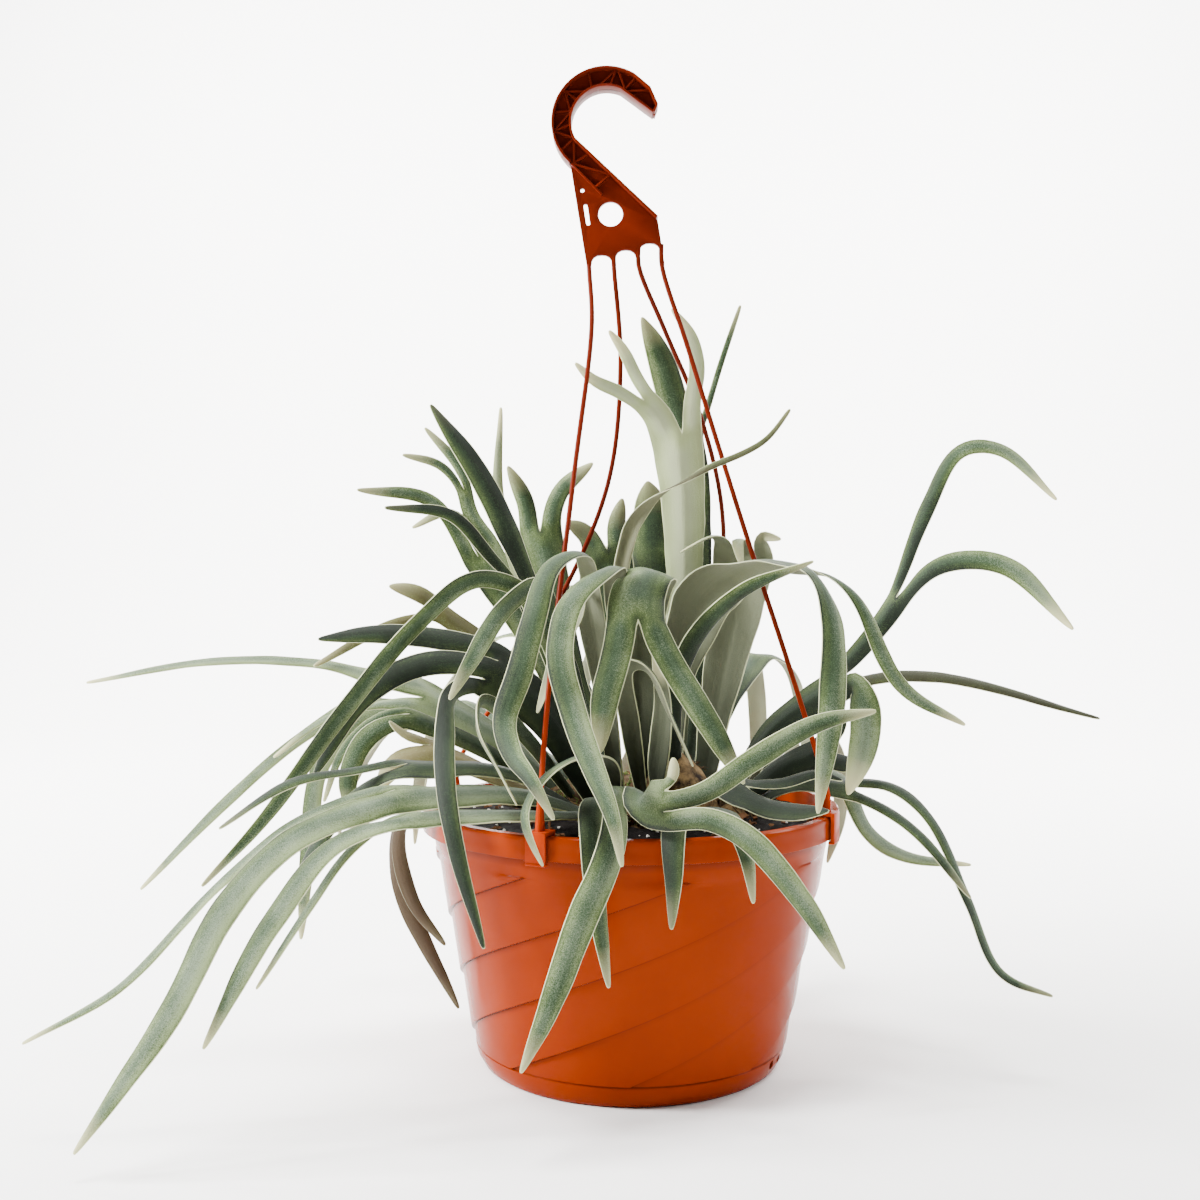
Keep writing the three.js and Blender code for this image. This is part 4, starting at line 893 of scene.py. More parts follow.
FRONDS = [
    # The tall group in the middle
    frond("tall_pale", 10, 32, TO_VIEWER, [[28, 4, 170], [30, 8, 230], [33, 12, 290], [32, 14, 340],
        [28, 14, 376]],
        lobe(16, [[16, 11, 389], [8, 7, 397]],
            lobe(8, [[-8, 1, 402], [-22, -8, 407], [-33, -12, 417]]),
            lobe(8, [[3, 6, 412], [-3, 3, 425], [-13, -2, 438]])),
        lobe(10, [[38, 14, 398], [41, 13, 416], [37, 9, 436], [25, 3, 452]])),
    frond("tall_green", 8, 26, TO_VIEWER, [[32, 11, 158], [42, 30, 230], [42, 36, 290], [38, 38, 352],
        [33, 39, 378]],
        lobe(19, [[27, 40, 400], [20, 38, 424], [7, 30, 452]]),
        lobe(4, [[48, 38, 394], [57, 38, 424], [69, 34, 460]])),
    frond("whip", 7, 10, FROM_VIEWER, [[14, -12, 165], [4, -10, 225], [-6, -12, 288], [0, -16, 318]],
        turned(TO_VIEWER, lobe(4, [[15, -22, 336], [30, -28, 344], [46, -34, 353], [64, -40, 360],
            [78, -44, 368], [91, -46, 385]]))),
    frond("arch_front", 9, 44, FROM_VIEWER, [[10, -20, 165], [4, -30, 235], [4, -48, 280], [6, -64, 290]],
        turned(TO_VIEWER, lobe(15, [[-14, -84, 291], [-30, -102, 278], [-37, -114, 250], [-28, -124, 215],
            [-8, -158, 168], [-4, -166, 148]])),
        turned(TO_VIEWER, lobe(33, [[4, -77, 281], [3, -85, 265]],
            lobe(17, [[-8, -91, 246], [-14, -95, 222], [-16, -97, 195]]),
            lobe(15, [[20, -91, 246], [40, -102, 214], [60, -108, 180]])))),
    frond("grey_right", 12, 40, [0.3, 1, 0], [[44, 6, 158], [52, 14, 205], [63, 18, 258], [70, 12, 302]],
        lobe(9, [[52, 2, 314], [30, -6, 304]]),
        lobe(8, [[64, -4, 312], [66, -14, 296]]),
        lobe(9, [[78, 2, 314], [90, -8, 312]])),
    frond("arch_right", 9, 36, FROM_VIEWER, [[26, -14, 168], [26, -12, 225], [42, -26, 276]],
        turned([0, 0.3, 1], lobe(24, [[72, -46, 294], [98, -64, 292]],
            turned(TO_VIEWER, lobe(15, [[108, -84, 272], [108, -96, 225], [100, -99, 163]])),
            turned(TO_VIEWER, lobe(9, [[122, -74, 280], [148, -76, 230], [186, -66, 207]]))))),
    frond("dark_arch", 8, 13, [0.2, -1, 0.3], [[28, -22, 160], [24, -42, 215], [34, -62, 252], [60, -74, 281],
        [100, -80, 298]]),
    frond("arch_low", 7, 12, FROM_VIEWER, [[8, -34, 155], [0, -52, 205], [-4, -66, 238], [8, -78, 240],
        [22, -84, 212], [34, -86, 186]]),
    frond("fold_left", 8, 19, [0.3, 1, 0.2], [[-6, -24, 152], [-17, -40, 235], [-27, -53, 287]],
        turned(TO_VIEWER, lobe(15, [[-28, -76, 302], [-43, -88, 294], [-52, -95, 265], [-60, -99, 235],
            [-67, -104, 214], [-62, -118, 198], [-50, -138, 186], [-38, -150, 168]])),
        lobe(10, [[-28, -58, 274], [-40, -51, 250], [-53, -54, 212]])),
    frond("back_fork", 9, 32, TO_VIEWER, [[12, 16, 160], [-2, 26, 240], [-15, 31, 306]],
        lobe(13, [[-27, 31, 316], [-40, 28, 324]]),
        lobe(12, [[-9, 33, 320], [-5, 34, 339]])),
    frond("back_wide", 9, 42, TO_VIEWER, [[20, 22, 165], [22, 38, 240], [21, 46, 306]],
        lobe(26, [[14, 48, 326], [11, 49, 351]]),
        lobe(12, [[38, 49, 324], [45, 49, 347]])),
    frond("back_antler", 8, 27, TO_VIEWER, [[-6, 32, 155], [-36, 46, 225], [-58, 58, 318]],
        lobe(12, [[-68, 57, 338], [-79, 52, 361]]),
        lobe(12, [[-46, 60, 344], [-24, 54, 363]])),
    frond("curled_young", 6, 13, [0.4, 1, 0], [[16, -40, 156], [15, -48, 178], [17, -57, 198], [18, -62, 222],
        [13, -62, 248]]),

    # The left side
    frond("fan", 8, 28, [0.4, -1, 0.2], [[-22, 14, 155], [-52, 21, 235], [-92, 24, 303]],
        lobe(9, [[-122, 14, 336], [-165, -6, 342]]),
        lobe(7, [[-112, 24, 330], [-136, 22, 320]]),
        lobe(10, [[-100, 28, 328], [-104, 28, 344]],
            lobe(6, [[-118, 24, 359], [-141, 16, 365]]),
            lobe(7, [[-110, 30, 362], [-129, 28, 383]]))),
    frond("dark_left", 8, 17, [0.3, -1, 0.2], [[-16, -6, 155], [-46, -5, 240], [-64, -8, 286]],
        lobe(15, [[-88, -12, 346], [-119, -16, 392]]),
        lobe(8, [[-84, -14, 302], [-106, -22, 326], [-144, -30, 330]])),
    frond("light_left", 7, 9, TO_VIEWER, [[-14, 4, 158], [-54, 9, 255], [-80, 10, 332], [-79, 6, 393]]),
    frond("long_fall", 9, 22, [0.2, -0.9, 0.6], [[-16, -18, 152], [-40, -30, 240], [-56, -42, 283]],
        lobe(10, [[-88, -56, 288], [-118, -68, 264], [-157, -88, 215], [-195, -108, 160], [-226, -115, 126]]),
        turned(TO_VIEWER, lobe(11, [[-70, -66, 272], [-86, -92, 244], [-96, -106, 224]]))),
    frond("dark_blade", 9, 36, [0.2, -0.8, 0.6], [[-20, -24, 152], [-50, -38, 210], [-80, -46, 236]],
        lobe(13, [[-112, -48, 254], [-142, -54, 257], [-177, -58, 254]]),
        lobe(15, [[-116, -56, 240], [-150, -68, 222], [-176, -74, 178]]),
        turned(TO_VIEWER, lobe(11, [[-98, -84, 226], [-97, -118, 206], [-93, -142, 182], [-86, -154, 152],
            [-72, -160, 106]]))),
    frond("long_left", 9, 30, [0.4, -0.7, 0.8], [[-34, 0, 152], [-82, -11, 193], [-124, -19, 217]],
        lobe(7, [[-152, -24, 230], [-182, -28, 238], [-244, -38, 240], [-315, -44, 228]]),
        lobe(5, [[-148, -30, 214], [-178, -40, 206], [-204, -52, 186]])),
    frond("brown_blunt", 8, 13, [0.2, -0.8, 0.6], [[-24, 4, 152], [-70, 0, 232], [-114, -8, 268]],
        lobe(11, [[-128, -12, 280], [-144, -16, 284]]),
        lobe(6, [[-140, -18, 262], [-185, -34, 237]])),
    frond("left_spray", 8, 28, [0.3, -0.6, 0.8], [[-34, 6, 150], [-90, 8, 196], [-160, -8, 208]],
        lobe(8, [[-198, -20, 192], [-240, -36, 154], [-284, -44, 108]]),
        turned(TO_VIEWER, lobe(11, [[-182, -26, 180], [-188, -36, 130], [-192, -38, 78]]))),
    frond("middle_left", 7, 14, [0.3, -0.8, 0.6], [[-40, -10, 150], [-86, -30, 188], [-128, -44, 208]],
        lobe(13, [[-150, -54, 198], [-160, -60, 172], [-154, -62, 150]]),
        lobe(6, [[-146, -44, 208], [-166, -46, 188], [-176, -48, 160]])),
    frond("yellow_notched", 8, 18, [0, -0.6, 0.8], [[-36, -20, 150], [-84, -45, 177], [-114, -57, 191]],
        lobe(16, [[-132, -66, 184], [-142, -68, 169]]),
        lobe(8, [[-128, -60, 200], [-136, -62, 208]])),
    frond("dark_low", 8, 20, [0, -0.5, 1], [[-28, -26, 150], [-72, -61, 179], [-122, -84, 184]],
        lobe(8, [[-150, -94, 184], [-180, -114, 180], [-214, -124, 158]]),
        turned([-0.3, -0.8, 0.6], lobe(11, [[-144, -88, 174], [-168, -94, 146], [-184, -96, 116]]))),
    frond("front_left_big", 9, 27, [-0.1, -0.6, 1], [[-19, -43, 150], [-58, -72, 167], [-124, -106, 171]],
        turned([-0.2, -0.9, 0.5], lobe(17, [[-170, -138, 156], [-200, -154, 126], [-224, -172, 76],
            [-265, -188, 14]])),
        lobe(8, [[-172, -118, 162], [-212, -128, 130], [-262, -138, 78], [-310, -142, 51]])),
    frond("blue_left", 9, 22, [-0.2, -0.7, 1], [[-12, -46, 151], [-46, -94, 160], [-112, -134, 165]],
        turned([-0.2, -0.9, 0.4], lobe(13, [[-146, -152, 156], [-178, -162, 116], [-209, -168, 58]])),
        lobe(7, [[-140, -146, 152], [-160, -152, 124], [-186, -156, 84]])),
    frond("pale_blue_thin", 6, 9, [0.4, -1, 0.2], [[-32, -16, 155], [-66, -56, 206], [-82, -82, 222],
        [-82, -100, 208], [-70, -106, 186], [-60, -108, 168]]),
    frond("curl_over_rim", 8, 12, [0, 0.9, 0.5], [[-10, -36, 152], [-12, -76, 185], [-24, -102, 193],
        [-38, -116, 189], [-48, -126, 181], [-54, -135, 168], [-50, -140, 155], [-44, -141, 143]]),
    frond("dead_dry", 8, 15, [-0.3, -0.6, 1], [[-46, -21, 151], [-80, -40, 161], [-114, -52, 166]],
        turned(TO_VIEWER, lobe(9, [[-130, -60, 148], [-123, -64, 108], [-104, -64, 82]])),
        turned(TO_VIEWER, lobe(11, [[-135, -42, 144], [-132, -42, 108], [-99, -44, 40]]))),

    # Over the rim in front
    frond("strap_front_left", 8, 14, [0, -0.7, 0.8], [[-2, -50, 150], [-10, -80, 163], [-20, -114, 168],
        [-20, -131, 155], [-17, -131, 120], [-11, -133, 79]]),
    frond("front_antler", 9, 34, [0, -0.8, 0.7], [[10, -46, 150], [6, -78, 166], [0, -110, 173]],
        turned(TO_VIEWER, lobe(16, [[-8, -134, 160], [-12, -146, 146], [-23, -156, 122], [-40, -168, 78],
            [-53, -172, 49]])),
        turned(TO_VIEWER, lobe(27, [[7, -130, 173], [18, -136, 173]],
            lobe(7, [[22, -134, 187], [22, -132, 197]]),
            lobe(12, [[38, -136, 180], [62, -134, 196], [96, -126, 214], [127, -120, 220]]),
            lobe(13, [[38, -144, 168], [58, -152, 160], [84, -160, 131], [105, -160, 97]])))),
    frond("strap_front", 8, 15, [0, -0.7, 0.8], [[20, -42, 150], [26, -82, 162], [24, -112, 165],
        [22, -130, 153], [22, -136, 132], [21, -136, 110]]),
    frond("strap_right", 7, 12, [0.2, -0.7, 0.8], [[28, -36, 151], [46, -82, 161], [54, -110, 160],
        [60, -124, 145], [63, -130, 122]]),
    frond("dark_wavy", 9, 22, [0.1, -0.6, 1], [[32, -22, 153], [48, -40, 170], [64, -54, 167]],
        lobe(15, [[80, -66, 159], [98, -78, 160], [108, -86, 162]]),
        lobe(9, [[86, -54, 172], [106, -54, 178], [120, -54, 174]])),

    # The right side
    frond("big_right", 8, 24, [-0.4, -0.8, 0.5], [[58, 2, 150], [84, -8, 196], [127, -18, 228]],
        lobe(15, [[140, -22, 252], [157, -24, 276]],
            lobe(10, [[173, -28, 330], [190, -36, 362], [212, -40, 362], [242, -46, 333]]),
            lobe(12, [[178, -36, 296], [212, -50, 296], [246, -64, 260]])),
        turned(TO_VIEWER, lobe(19, [[132, -28, 229], [136, -36, 212], [133, -43, 190], [124, -47, 165]]))),
    frond("thin_right", 7, 9, [0, -0.5, 1], [[64, 6, 148], [94, 24, 192], [140, 32, 222], [190, 26, 227],
        [286, 10, 203]]),
    frond("low_right", 8, 18, [0.1, -0.6, 1], [[66, -2, 146], [98, -24, 168], [126, -34, 166]],
        lobe(9, [[150, -38, 168], [172, -42, 150], [192, -46, 106], [210, -50, 64], [240, -50, 51]]),
        lobe(8, [[146, -48, 156], [166, -58, 140], [190, -64, 110]])),
    frond("pale_right", 8, 14, [0.2, -0.5, 1], [[70, 8, 146], [100, 12, 165], [128, 14, 165], [144, 8, 134],
        [166, 2, 120], [204, -8, 117]]),
    frond("grey_arch_right", 7, 12, [0, -0.5, 1], [[60, 16, 148], [88, 26, 174], [112, 30, 170],
        [130, 26, 158], [150, 18, 164]]),
    frond("deep_right", 8, 20, [-0.3, -0.8, 0.5], [[62, -8, 150], [90, -18, 176], [112, -24, 186]],
        lobe(13, [[120, -26, 198], [126, -26, 208]]),
        lobe(12, [[124, -24, 180], [136, -20, 178]])),

    # The far side
    frond("back_left_high", 8, 24, [0.5, -0.8, 0.2], [[-10, 48, 150], [-36, 84, 220], [-66, 122, 248]],
        lobe(15, [[-104, 146, 240], [-142, 168, 190], [-152, 176, 130]]),
        lobe(14, [[-80, 158, 238], [-88, 196, 186], [-84, 208, 128]])),
    frond("back_left_low", 8, 22, [0.6, -0.6, 0.5], [[-26, 18, 152], [-72, 58, 186], [-112, 84, 204]],
        lobe(14, [[-150, 96, 196], [-188, 108, 152], [-204, 112, 100]]),
        lobe(12, [[-132, 118, 190], [-150, 146, 148], [-156, 158, 96]])),
    frond("back_middle", 8, 26, [0, -0.8, 0.4], [[8, 54, 148], [6, 92, 226], [2, 132, 256]],
        lobe(15, [[-24, 164, 246], [-36, 196, 194], [-34, 206, 138]]),
        lobe(14, [[22, 166, 248], [30, 200, 200], [26, 212, 150]])),
    frond("back_right_high", 8, 24, [-0.4, -0.8, 0.2], [[34, 46, 150], [68, 84, 214], [86, 116, 234]],
        lobe(14, [[88, 150, 224], [94, 182, 176], [92, 194, 122]]),
        lobe(13, [[112, 138, 224], [126, 158, 178], [124, 170, 126]])),
    frond("back_right_low", 8, 20, [-0.6, -0.6, 0.5], [[60, 22, 148], [88, 62, 182], [116, 88, 192]],
        lobe(13, [[138, 102, 176], [144, 112, 130], [136, 118, 92]]),
        lobe(11, [[112, 122, 180], [116, 144, 140], [112, 152, 100]])),
    frond("back_over_rim", 8, 22, [0, -0.4, 1], [[12, 58, 148], [14, 100, 176], [14, 134, 176]],
        lobe(13, [[-2, 158, 154], [-8, 168, 112], [-4, 168, 76]]),
        lobe(12, [[34, 156, 152], [44, 166, 112], [42, 166, 82]])),
]

# How thick the felt of a frond is, from 0 for bare deep green to 1 for thick pale felt. The rest have 0.5.
TONES = {
    "tall_pale": 1.2, "tall_green": 0.45, "whip": 0.2, "arch_front": 0.52, "grey_right": 0.6,
    "dark_arch": 0.2, "fold_left": 0.35, "back_fork": 0.3, "back_wide": 0.28, "back_antler": 0.45,
    "curled_young": 0.85, "fan": 0.55, "dark_left": 0.08, "light_left": 0.9, "dark_blade": 0.0,
    "long_left": 0.85, "brown_blunt": 0.35, "left_spray": 0.75, "dark_low": 0.15, "front_left_big": 0.7,
    "blue_left": 0.65, "pale_blue_thin": 0.75, "front_antler": 0.6, "strap_front": 0.18,
    "dark_wavy": 0.0, "big_right": 0.15, "low_right": 0.3, "pale_right": 0.85, "grey_arch_right": 0.4,
    "deep_right": 0.0, "thin_right": 0.0, "back_left_high": 0.4, "back_middle": 0.4, "back_right_low": 0.35,
}
# The same at the tips of the fronds that get paler outwards, and from how many millimetres before the tip.
# A row that leads to a fork counts as that far from a tip.
TIP_TONES = {"big_right": 1.15, "arch_right": 0.75, "dark_arch": 0.5}
TIP_REACH = 100
# How far a frond has aged to straw brown
AGES = {"brown_blunt": 0.2, "thin_right": 0.05, "yellow_notched": 0.35, "light_left": 0.1, "whip": 0.1,
        "dead_dry": 0.95}
LOBE_COLUMNS = 6
# The share of a lobe's length over which its upper face turns, and over which it opens to its full width
TURN_END = 0.6
OPEN_END = 0.35
# How late a blade opens to a fork and narrows to its tip, and how round it is across: each is a power
FORK_CURVE = 1.1
TIP_CURVE = 2.8
ARCH_CURVE = 1.15
# The last row but one of a lobe stands this many millimetres before its tip, and the last has this share
# of the width
TIP_ROUNDING = 1.3
TIP_SHARE = 0.45
# How uneven a blade is, as shares of its half width: its sides lift, its edges waver, its whole width
# changes, and its middle has a groove
SIDE_LIFT = 0.2
EDGE_WAVER = 0.07
WIDTH_WAVER = 0.05
GROOVE = 0.07
# How far the point that gives a lobe its first direction lies behind it, in millimetres
LEAD = 12


def column_count(part):
    return sum(column_count(child) for child in part["lobes"]) or LOBE_COLUMNS


def half_width(part, start_width, share):
    """Half the width along a lobe: it opens from the width that it starts with, and then narrows to its tip
    or opens to the fork that it ends in."""
    if part["lobes"]:
        return (start_width + (part["width"] - start_width) * share ** FORK_CURVE) / 2
    opening = min(1, share / OPEN_END)
    full = start_width + (part["width"] - start_width) * opening * opening * (3 - 2 * opening)
    tip = settings("frond").tip_width / MM
    return (full + (tip - full) * max(0, (share - OPEN_END) / (1 - OPEN_END)) ** TIP_CURVE) / 2


def turned_up(up, ahead, way, share):
    """Turns a blade's upper face about the way ahead, little by little, until it looks the lobe's own way."""
    wanted = squared(Vector(way), ahead)
    angle = math.atan2(up.cross(wanted).dot(ahead), up.dot(wanted))
    done = min(1, share / TURN_END)
    return Matrix.Rotation(angle * done * done * (3 - 2 * done), 3, ahead) @ up


class Sheet:
    """The thin sheet that a frond grows in. Each point keeps its place, its place on the flat blade, the
    half width there, how far to which side it is, its distance to the tip and its share of the full
    thickness."""

    def __init__(self):
        self.points = []
        self.flat = []
        self.halves = []
        self.sides = []
        self.tips = []
        self.thickness = []
        self.faces = []

    def add_row(self, middle, across, up, half, shares, flat, tip, thickness, groove):
        look = settings("frond")
        row = []
        for share in shares:
            lift = look.arch * half * (1 - abs(share) ** ARCH_CURVE)
            lift += SIDE_LIFT * half * share * share * noise.noise(middle / 20 + across * share)
            lift -= groove * half * max(0, 1 - abs(share) * 3)
            wobble = 1 + EDGE_WAVER * abs(share) * noise.noise(middle / 13 + across * share * 7)
            self.points.append(middle + across * half * share * wobble + up * lift)
            self.flat.append((flat[0] + half * share, flat[1]))
            self.halves.append(half)
            self.sides.append(share)
            self.tips.append(tip)
            self.thickness.append(thickness * (1 - 0.3 * share * share))
            row.append(len(self.points) - 1)
        return row

    def bridge(self, row, next_row):
        for i in range(len(row) - 1):
            self.faces.append((row[i], row[i + 1], next_row[i + 1], next_row[i]))

    def grow(self, part, start):
        """Grows one lobe from the row that it starts at, and then the lobes that it forks into."""
        look = settings("frond")
        route = Route(start["middle"] - LEAD * start["ahead"],
                      [start["middle"], *[Vector(p) for p in part["path"]]])
        children = part["lobes"]
        columns = len(start["row"]) - 1
        steps = max(3, round(route.length / (look.row_spacing / MM)))
        stops = [step / steps for step in range(1, steps + 1)]
        if not children:
            stops.insert(-1, 1 - TIP_ROUNDING / route.length)
        even = [2 * i / columns - 1 for i in range(columns + 1)]
        forked = even
        blade = look.blade_thickness / look.stalk_thickness
        up = start["up"]
        row = start["row"]
        if children:
            children = self.in_order(children, route, start["up"], part.get("turn"))
            forked = self.fork_shares(children)
            widths = sum(child["width"] for child in children)
        for share in stops:
            middle = route.at(share)
            ahead = route.ahead(share)
            up = squared(up, ahead)
            face = turned_up(up, ahead, part["turn"], share) if "turn" in part else up
            across = ahead.cross(face).normalized()
            half = half_width(part, start["width"], share)
            half *= 1 + WIDTH_WAVER * noise.noise(middle / 17) * min(1, 4 * share * (1 - share))
            if share == 1 and not children:
                half *= TIP_SHARE
            mix = share * share
            shares = [a + (b - a) * mix for a, b in zip(even, forked)]
            thickness = 1 + (blade - 1) * share if start["stalk"] else blade
            flat = (start["flat"][0], start["flat"][1] + share * route.length)
            tip = TIP_REACH if children else (1 - share) * route.length
            groove = 0 if children else GROOVE * min(1, 4 * share)
            next_row = self.add_row(middle, across, face, half, shares, flat, tip, thickness, groove)
            self.bridge(row, next_row)
            row = next_row
        if not children:
            return
        used = 0
        for child in children:
            count = column_count(child)
            own = row[used:used + count + 1]
            used += count
            centre = (self.points[own[0]] + self.points[own[-1]]) / 2
            offset = (self.flat[own[0]][0] + self.flat[own[-1]][0]) / 2
            self.grow(child, {"row": own, "middle": centre, "ahead": ahead, "up": face, "stalk": False,
                              "width": part["width"] * child["width"] / widths, "flat": (offset, flat[1])})

    def in_order(self, children, route, up, way):
        """The lobes of a fork from left to right across it."""
        for step in range(1, 21):
            ahead = route.ahead(step / 20)
            up = squared(up, ahead)
        across = ahead.cross(turned_up(up, ahead, way, 1) if way else up)
        return sorted(children, key=lambda child: (Vector(child["path"][0]) - route.at(1)).dot(across))

    def fork_shares(self, children):
        """Where the columns stand at a fork: each lobe gets its part of the width by its own width."""
        total = sum(child["width"] for child in children)
        shares = [-1.0]
        for child in children:
            count = column_count(child)
            shares += [shares[-1] + 2 * child["width"] / total * (j + 1) / count for j in range(count)]
        return shares

    def margins(self):
        """The distance from each point to the nearest edge."""
        uses = {}
        for face in self.faces:
            for a, b in zip(face, face[1:] + face[:1]):
                key = (min(a, b), max(a, b))
                uses[key] = uses.get(key, 0) + 1
        rim = [key for key, count in uses.items() if count == 1]
        tree = kdtree.KDTree(len(rim) * 4)
        for i, (a, b) in enumerate(rim):
            for j in range(4):
                tree.insert(self.points[a].lerp(self.points[b], j / 4), i * 4 + j)
        tree.balance()
        edge = {i for key in rim for i in key}
        return [0.0 if i in edge else tree.find(point)[2] for i, point in enumerate(self.points)]


class FERN_OT_fronds(bpy.types.Operator):
    """Grows every antler-shaped frond along its route, forks it and gives it its thickness"""
    bl_idname = "fern.fronds"
    bl_label = "Fronds"

    def execute(self, context):
        living = [frond_material("Fern frond, felted, upper face"),
                  frond_material("Fern frond, felted, underside", under=True)]
        dead = [frond_material("Fern frond, dried, upper face", dry=True),
                frond_material("Fern frond, dried, underside", under=True, dry=True)]
        for item in FRONDS:
            dry = item["name"] == "dead_dry"
            self.build(item, dead if dry else living, "dry_frond" if dry else "frond")
        return {"FINISHED"}

    def build(self, item, materials, slot):
        sheet = Sheet()
        foot = Vector(item["start"])
        ahead = (Vector(item["path"][0]) - foot).normalized()
        up = squared(Vector(item["facing"]), ahead)
        across = ahead.cross(up).normalized()
        columns = column_count(item)
        shares = [2 * i / columns - 1 for i in range(columns + 1)]
        row = sheet.add_row(foot, across, up, item["foot"] / 2, shares, (0, 0), TIP_REACH, 1, 0)
        sheet.grow(item, {"row": row, "middle": foot, "ahead": ahead, "up": up, "stalk": True,
                          "width": item["foot"], "flat": (0, 0)})
        piece = mesh_piece("blade_" + item["name"], [point * MM for point in sheet.points], sheet.faces)
        margins = sheet.margins()
        tone = TONES.get(item["name"], 0.5)
        paler = TIP_TONES.get(item["name"], tone) - tone
        store_values(piece, "tone", [tone + paler * max(0, 1 - tip / TIP_REACH) for tip in sheet.tips])
        store_values(piece, "warm", [AGES.get(item["name"], 0.0)] * len(sheet.points))
        store_values(piece, "tip", [tip * MM for tip in sheet.tips])
        store_values(piece, "margin", [margin * MM for margin in margins])
        store_values(piece, "side", sheet.sides)
        store_values(piece, "inner", [min(1, margin / half) for margin, half in zip(margins, sheet.halves)])
        layer = piece.data.uv_layers.new(name="blade")
        for loop in piece.data.loops:
            u, v = sheet.flat[loop.vertex_index]
            layer.data[loop.index].uv = (u * MM, v * MM)
        for material in materials:
            piece.data.materials.append(material)
        group = piece.vertex_groups.new(name="thickness")
        for i, thickness in enumerate(sheet.thickness):
            group.add([i], thickness, "REPLACE")
        apply_modifier(piece, "SOLIDIFY", thickness=settings("frond").stalk_thickness, offset=0,
                       vertex_group="thickness", material_offset=1)
        apply_modifier(piece, "SUBSURF", levels=1, render_levels=1)
        finished(piece, slot, [], "frond_" + item["name"])


# Hanger

# The hook's two arcs: where each starts and ends, in degrees, and how many steps it is drawn in
OUTER_ARC = (59, 228, 40)
INNER_ARC = (208, 66, 34)
# The plate's right shoulder, the height at which the strands leave the plate, and each strand's path
SHOULDER = (16.5, 504)
STRAND_TOP = 477
STRAND_PATHS = {
    "front_left": [(-25, 0, 486), (-25, 0, 477), (-23, -12, 440), (-32, -45, 350), (-44, -90, 230)],
    "back_left": [(-10.2, 0, 486), (-10, 0, 477), (-6, 6, 420), (-14, 14, 346), (-50, 32, 265)],
    "back_right": [(4.8, 0, 488), (5, 0, 477), (21, 10, 440), (45, 25, 385), (60, 55, 318)],
    "front_right": [(18.6, 0, 490), (19, 0, 477), (34, -6, 428), (68, -24, 314), (96, -38, 224)],
}
# A rim clip's wall and half its width, how far it stands off the rim above and outside, and how far its
# outer arm reaches down from the top of the rim
CLIP_WALL = 2.2
CLIP_HALF = 6
CLIP_ABOVE = 0.35
CLIP_OUTSIDE = 0.55
CLIP_REACH = 13.6
# The zigzag ribs between the hook's two walls, from one end to the other
TRUSS = [
    ((-24.8, 592), (-23.2, 582.5)), ((-20, 582.5), (-8.8, 593.5)), ((-8.8, 593.5), (-12.2, 583.5)),
    ((-7.4, 593), (-3, 581.5)), ((3.2, 589), (-3.4, 581.5)), ((-3.4, 580.5), (12, 581.2)),
    ((-40.3, 580.8), (-26, 580.5)), ((-39.4, 581), (-31.5, 575.2)), ((-39.2, 581.5), (-36, 568.5)),
    ((-46, 568.6), (-35.6, 568.8)), ((-36, 568.2), (-46, 557)), ((-46, 557), (-36, 561)),
    ((-46, 557), (-34.6, 553)), ((-42.6, 545), (-34, 552.4)), ((-34, 552.6), (-33.9, 537)),
    ((-33.9, 538), (-25, 543.6)), ((-34.5, 537.4), (-11, 531)), ((-21, 523.6), (-11.6, 531.6)),
    ((-35.6, 537.6), (-17.2, 519.3)),
]


def arc(middle, radius, start, end, count):
    """Points of an arc in X and Z, from one angle to another in degrees."""
    turns = [math.radians(start + (end - start) * i / count) for i in range(count + 1)]
    return [(middle[0] + radius * math.cos(turn), middle[1] + radius * math.sin(turn)) for turn in turns]


# How far the edges of the plate and of the walls on it are rounded, in millimetres
EDGE_ROUNDING = 0.25


def flat_piece(outline, depth, holes=()):
    """A plate of even depth from its outline in X and Z, with its edges rounded a little."""
    curve = bpy.data.curves.new("plate", "CURVE")
    curve.dimensions = "2D"
    curve.fill_mode = "BOTH"
    curve.extrude = (depth / 2 - EDGE_ROUNDING) * MM
    curve.bevel_depth = EDGE_ROUNDING * MM
    curve.bevel_resolution = 1
    curve.offset = -EDGE_ROUNDING * MM
    for loop in (outline, *holes):
        spline = curve.splines.new("POLY")
        spline.points.add(len(loop) - 1)
        for point, (x, z) in zip(spline.points, loop):
            point.co = (x * MM, z * MM, 0, 1)
        spline.use_cyclic_u = True
    piece = bpy.data.objects.new("plate", curve)
    bpy.context.scene.collection.objects.link(piece)
    piece.rotation_euler = (math.pi / 2, 0, 0)
    select_only(piece)
    bpy.ops.object.convert(target="MESH")
    apply_all(piece)
    return piece


def band(line, width, depth):
    """A wall that stands on the plate along a line of points in X and Z."""
    left, right = [], []
    for i, spot in enumerate(line):
        before, after = line[max(i - 1, 0)], line[min(i + 1, len(line) - 1)]
        along = Vector((after[0] - before[0], after[1] - before[1])).normalized() * width / 2
        left.append((spot[0] - along.y, spot[1] + along.x))
        right.append((spot[0] + along.y, spot[1] - along.x))
    return flat_piece(left + right[::-1], depth)


def block(low, high, turn):
    """A block with rounded edges, turned in plan."""
    size = [b - a for a, b in zip(low, high)]
    middle = [(a + b) / 2 for a, b in zip(low, high)]
    bpy.ops.object.select_all(action="DESELECT")
    bpy.ops.mesh.primitive_cube_add(size=1, location=Vector(middle) * MM, scale=Vector(size) * MM)
    piece = bpy.context.view_layer.objects.active
    apply_all(piece)
    apply_modifier(piece, "BEVEL", width=0.5 * MM, segments=2)
    piece.data.transform(Matrix.Rotation(turn - math.pi / 2, 4, "Z"))
    return piece


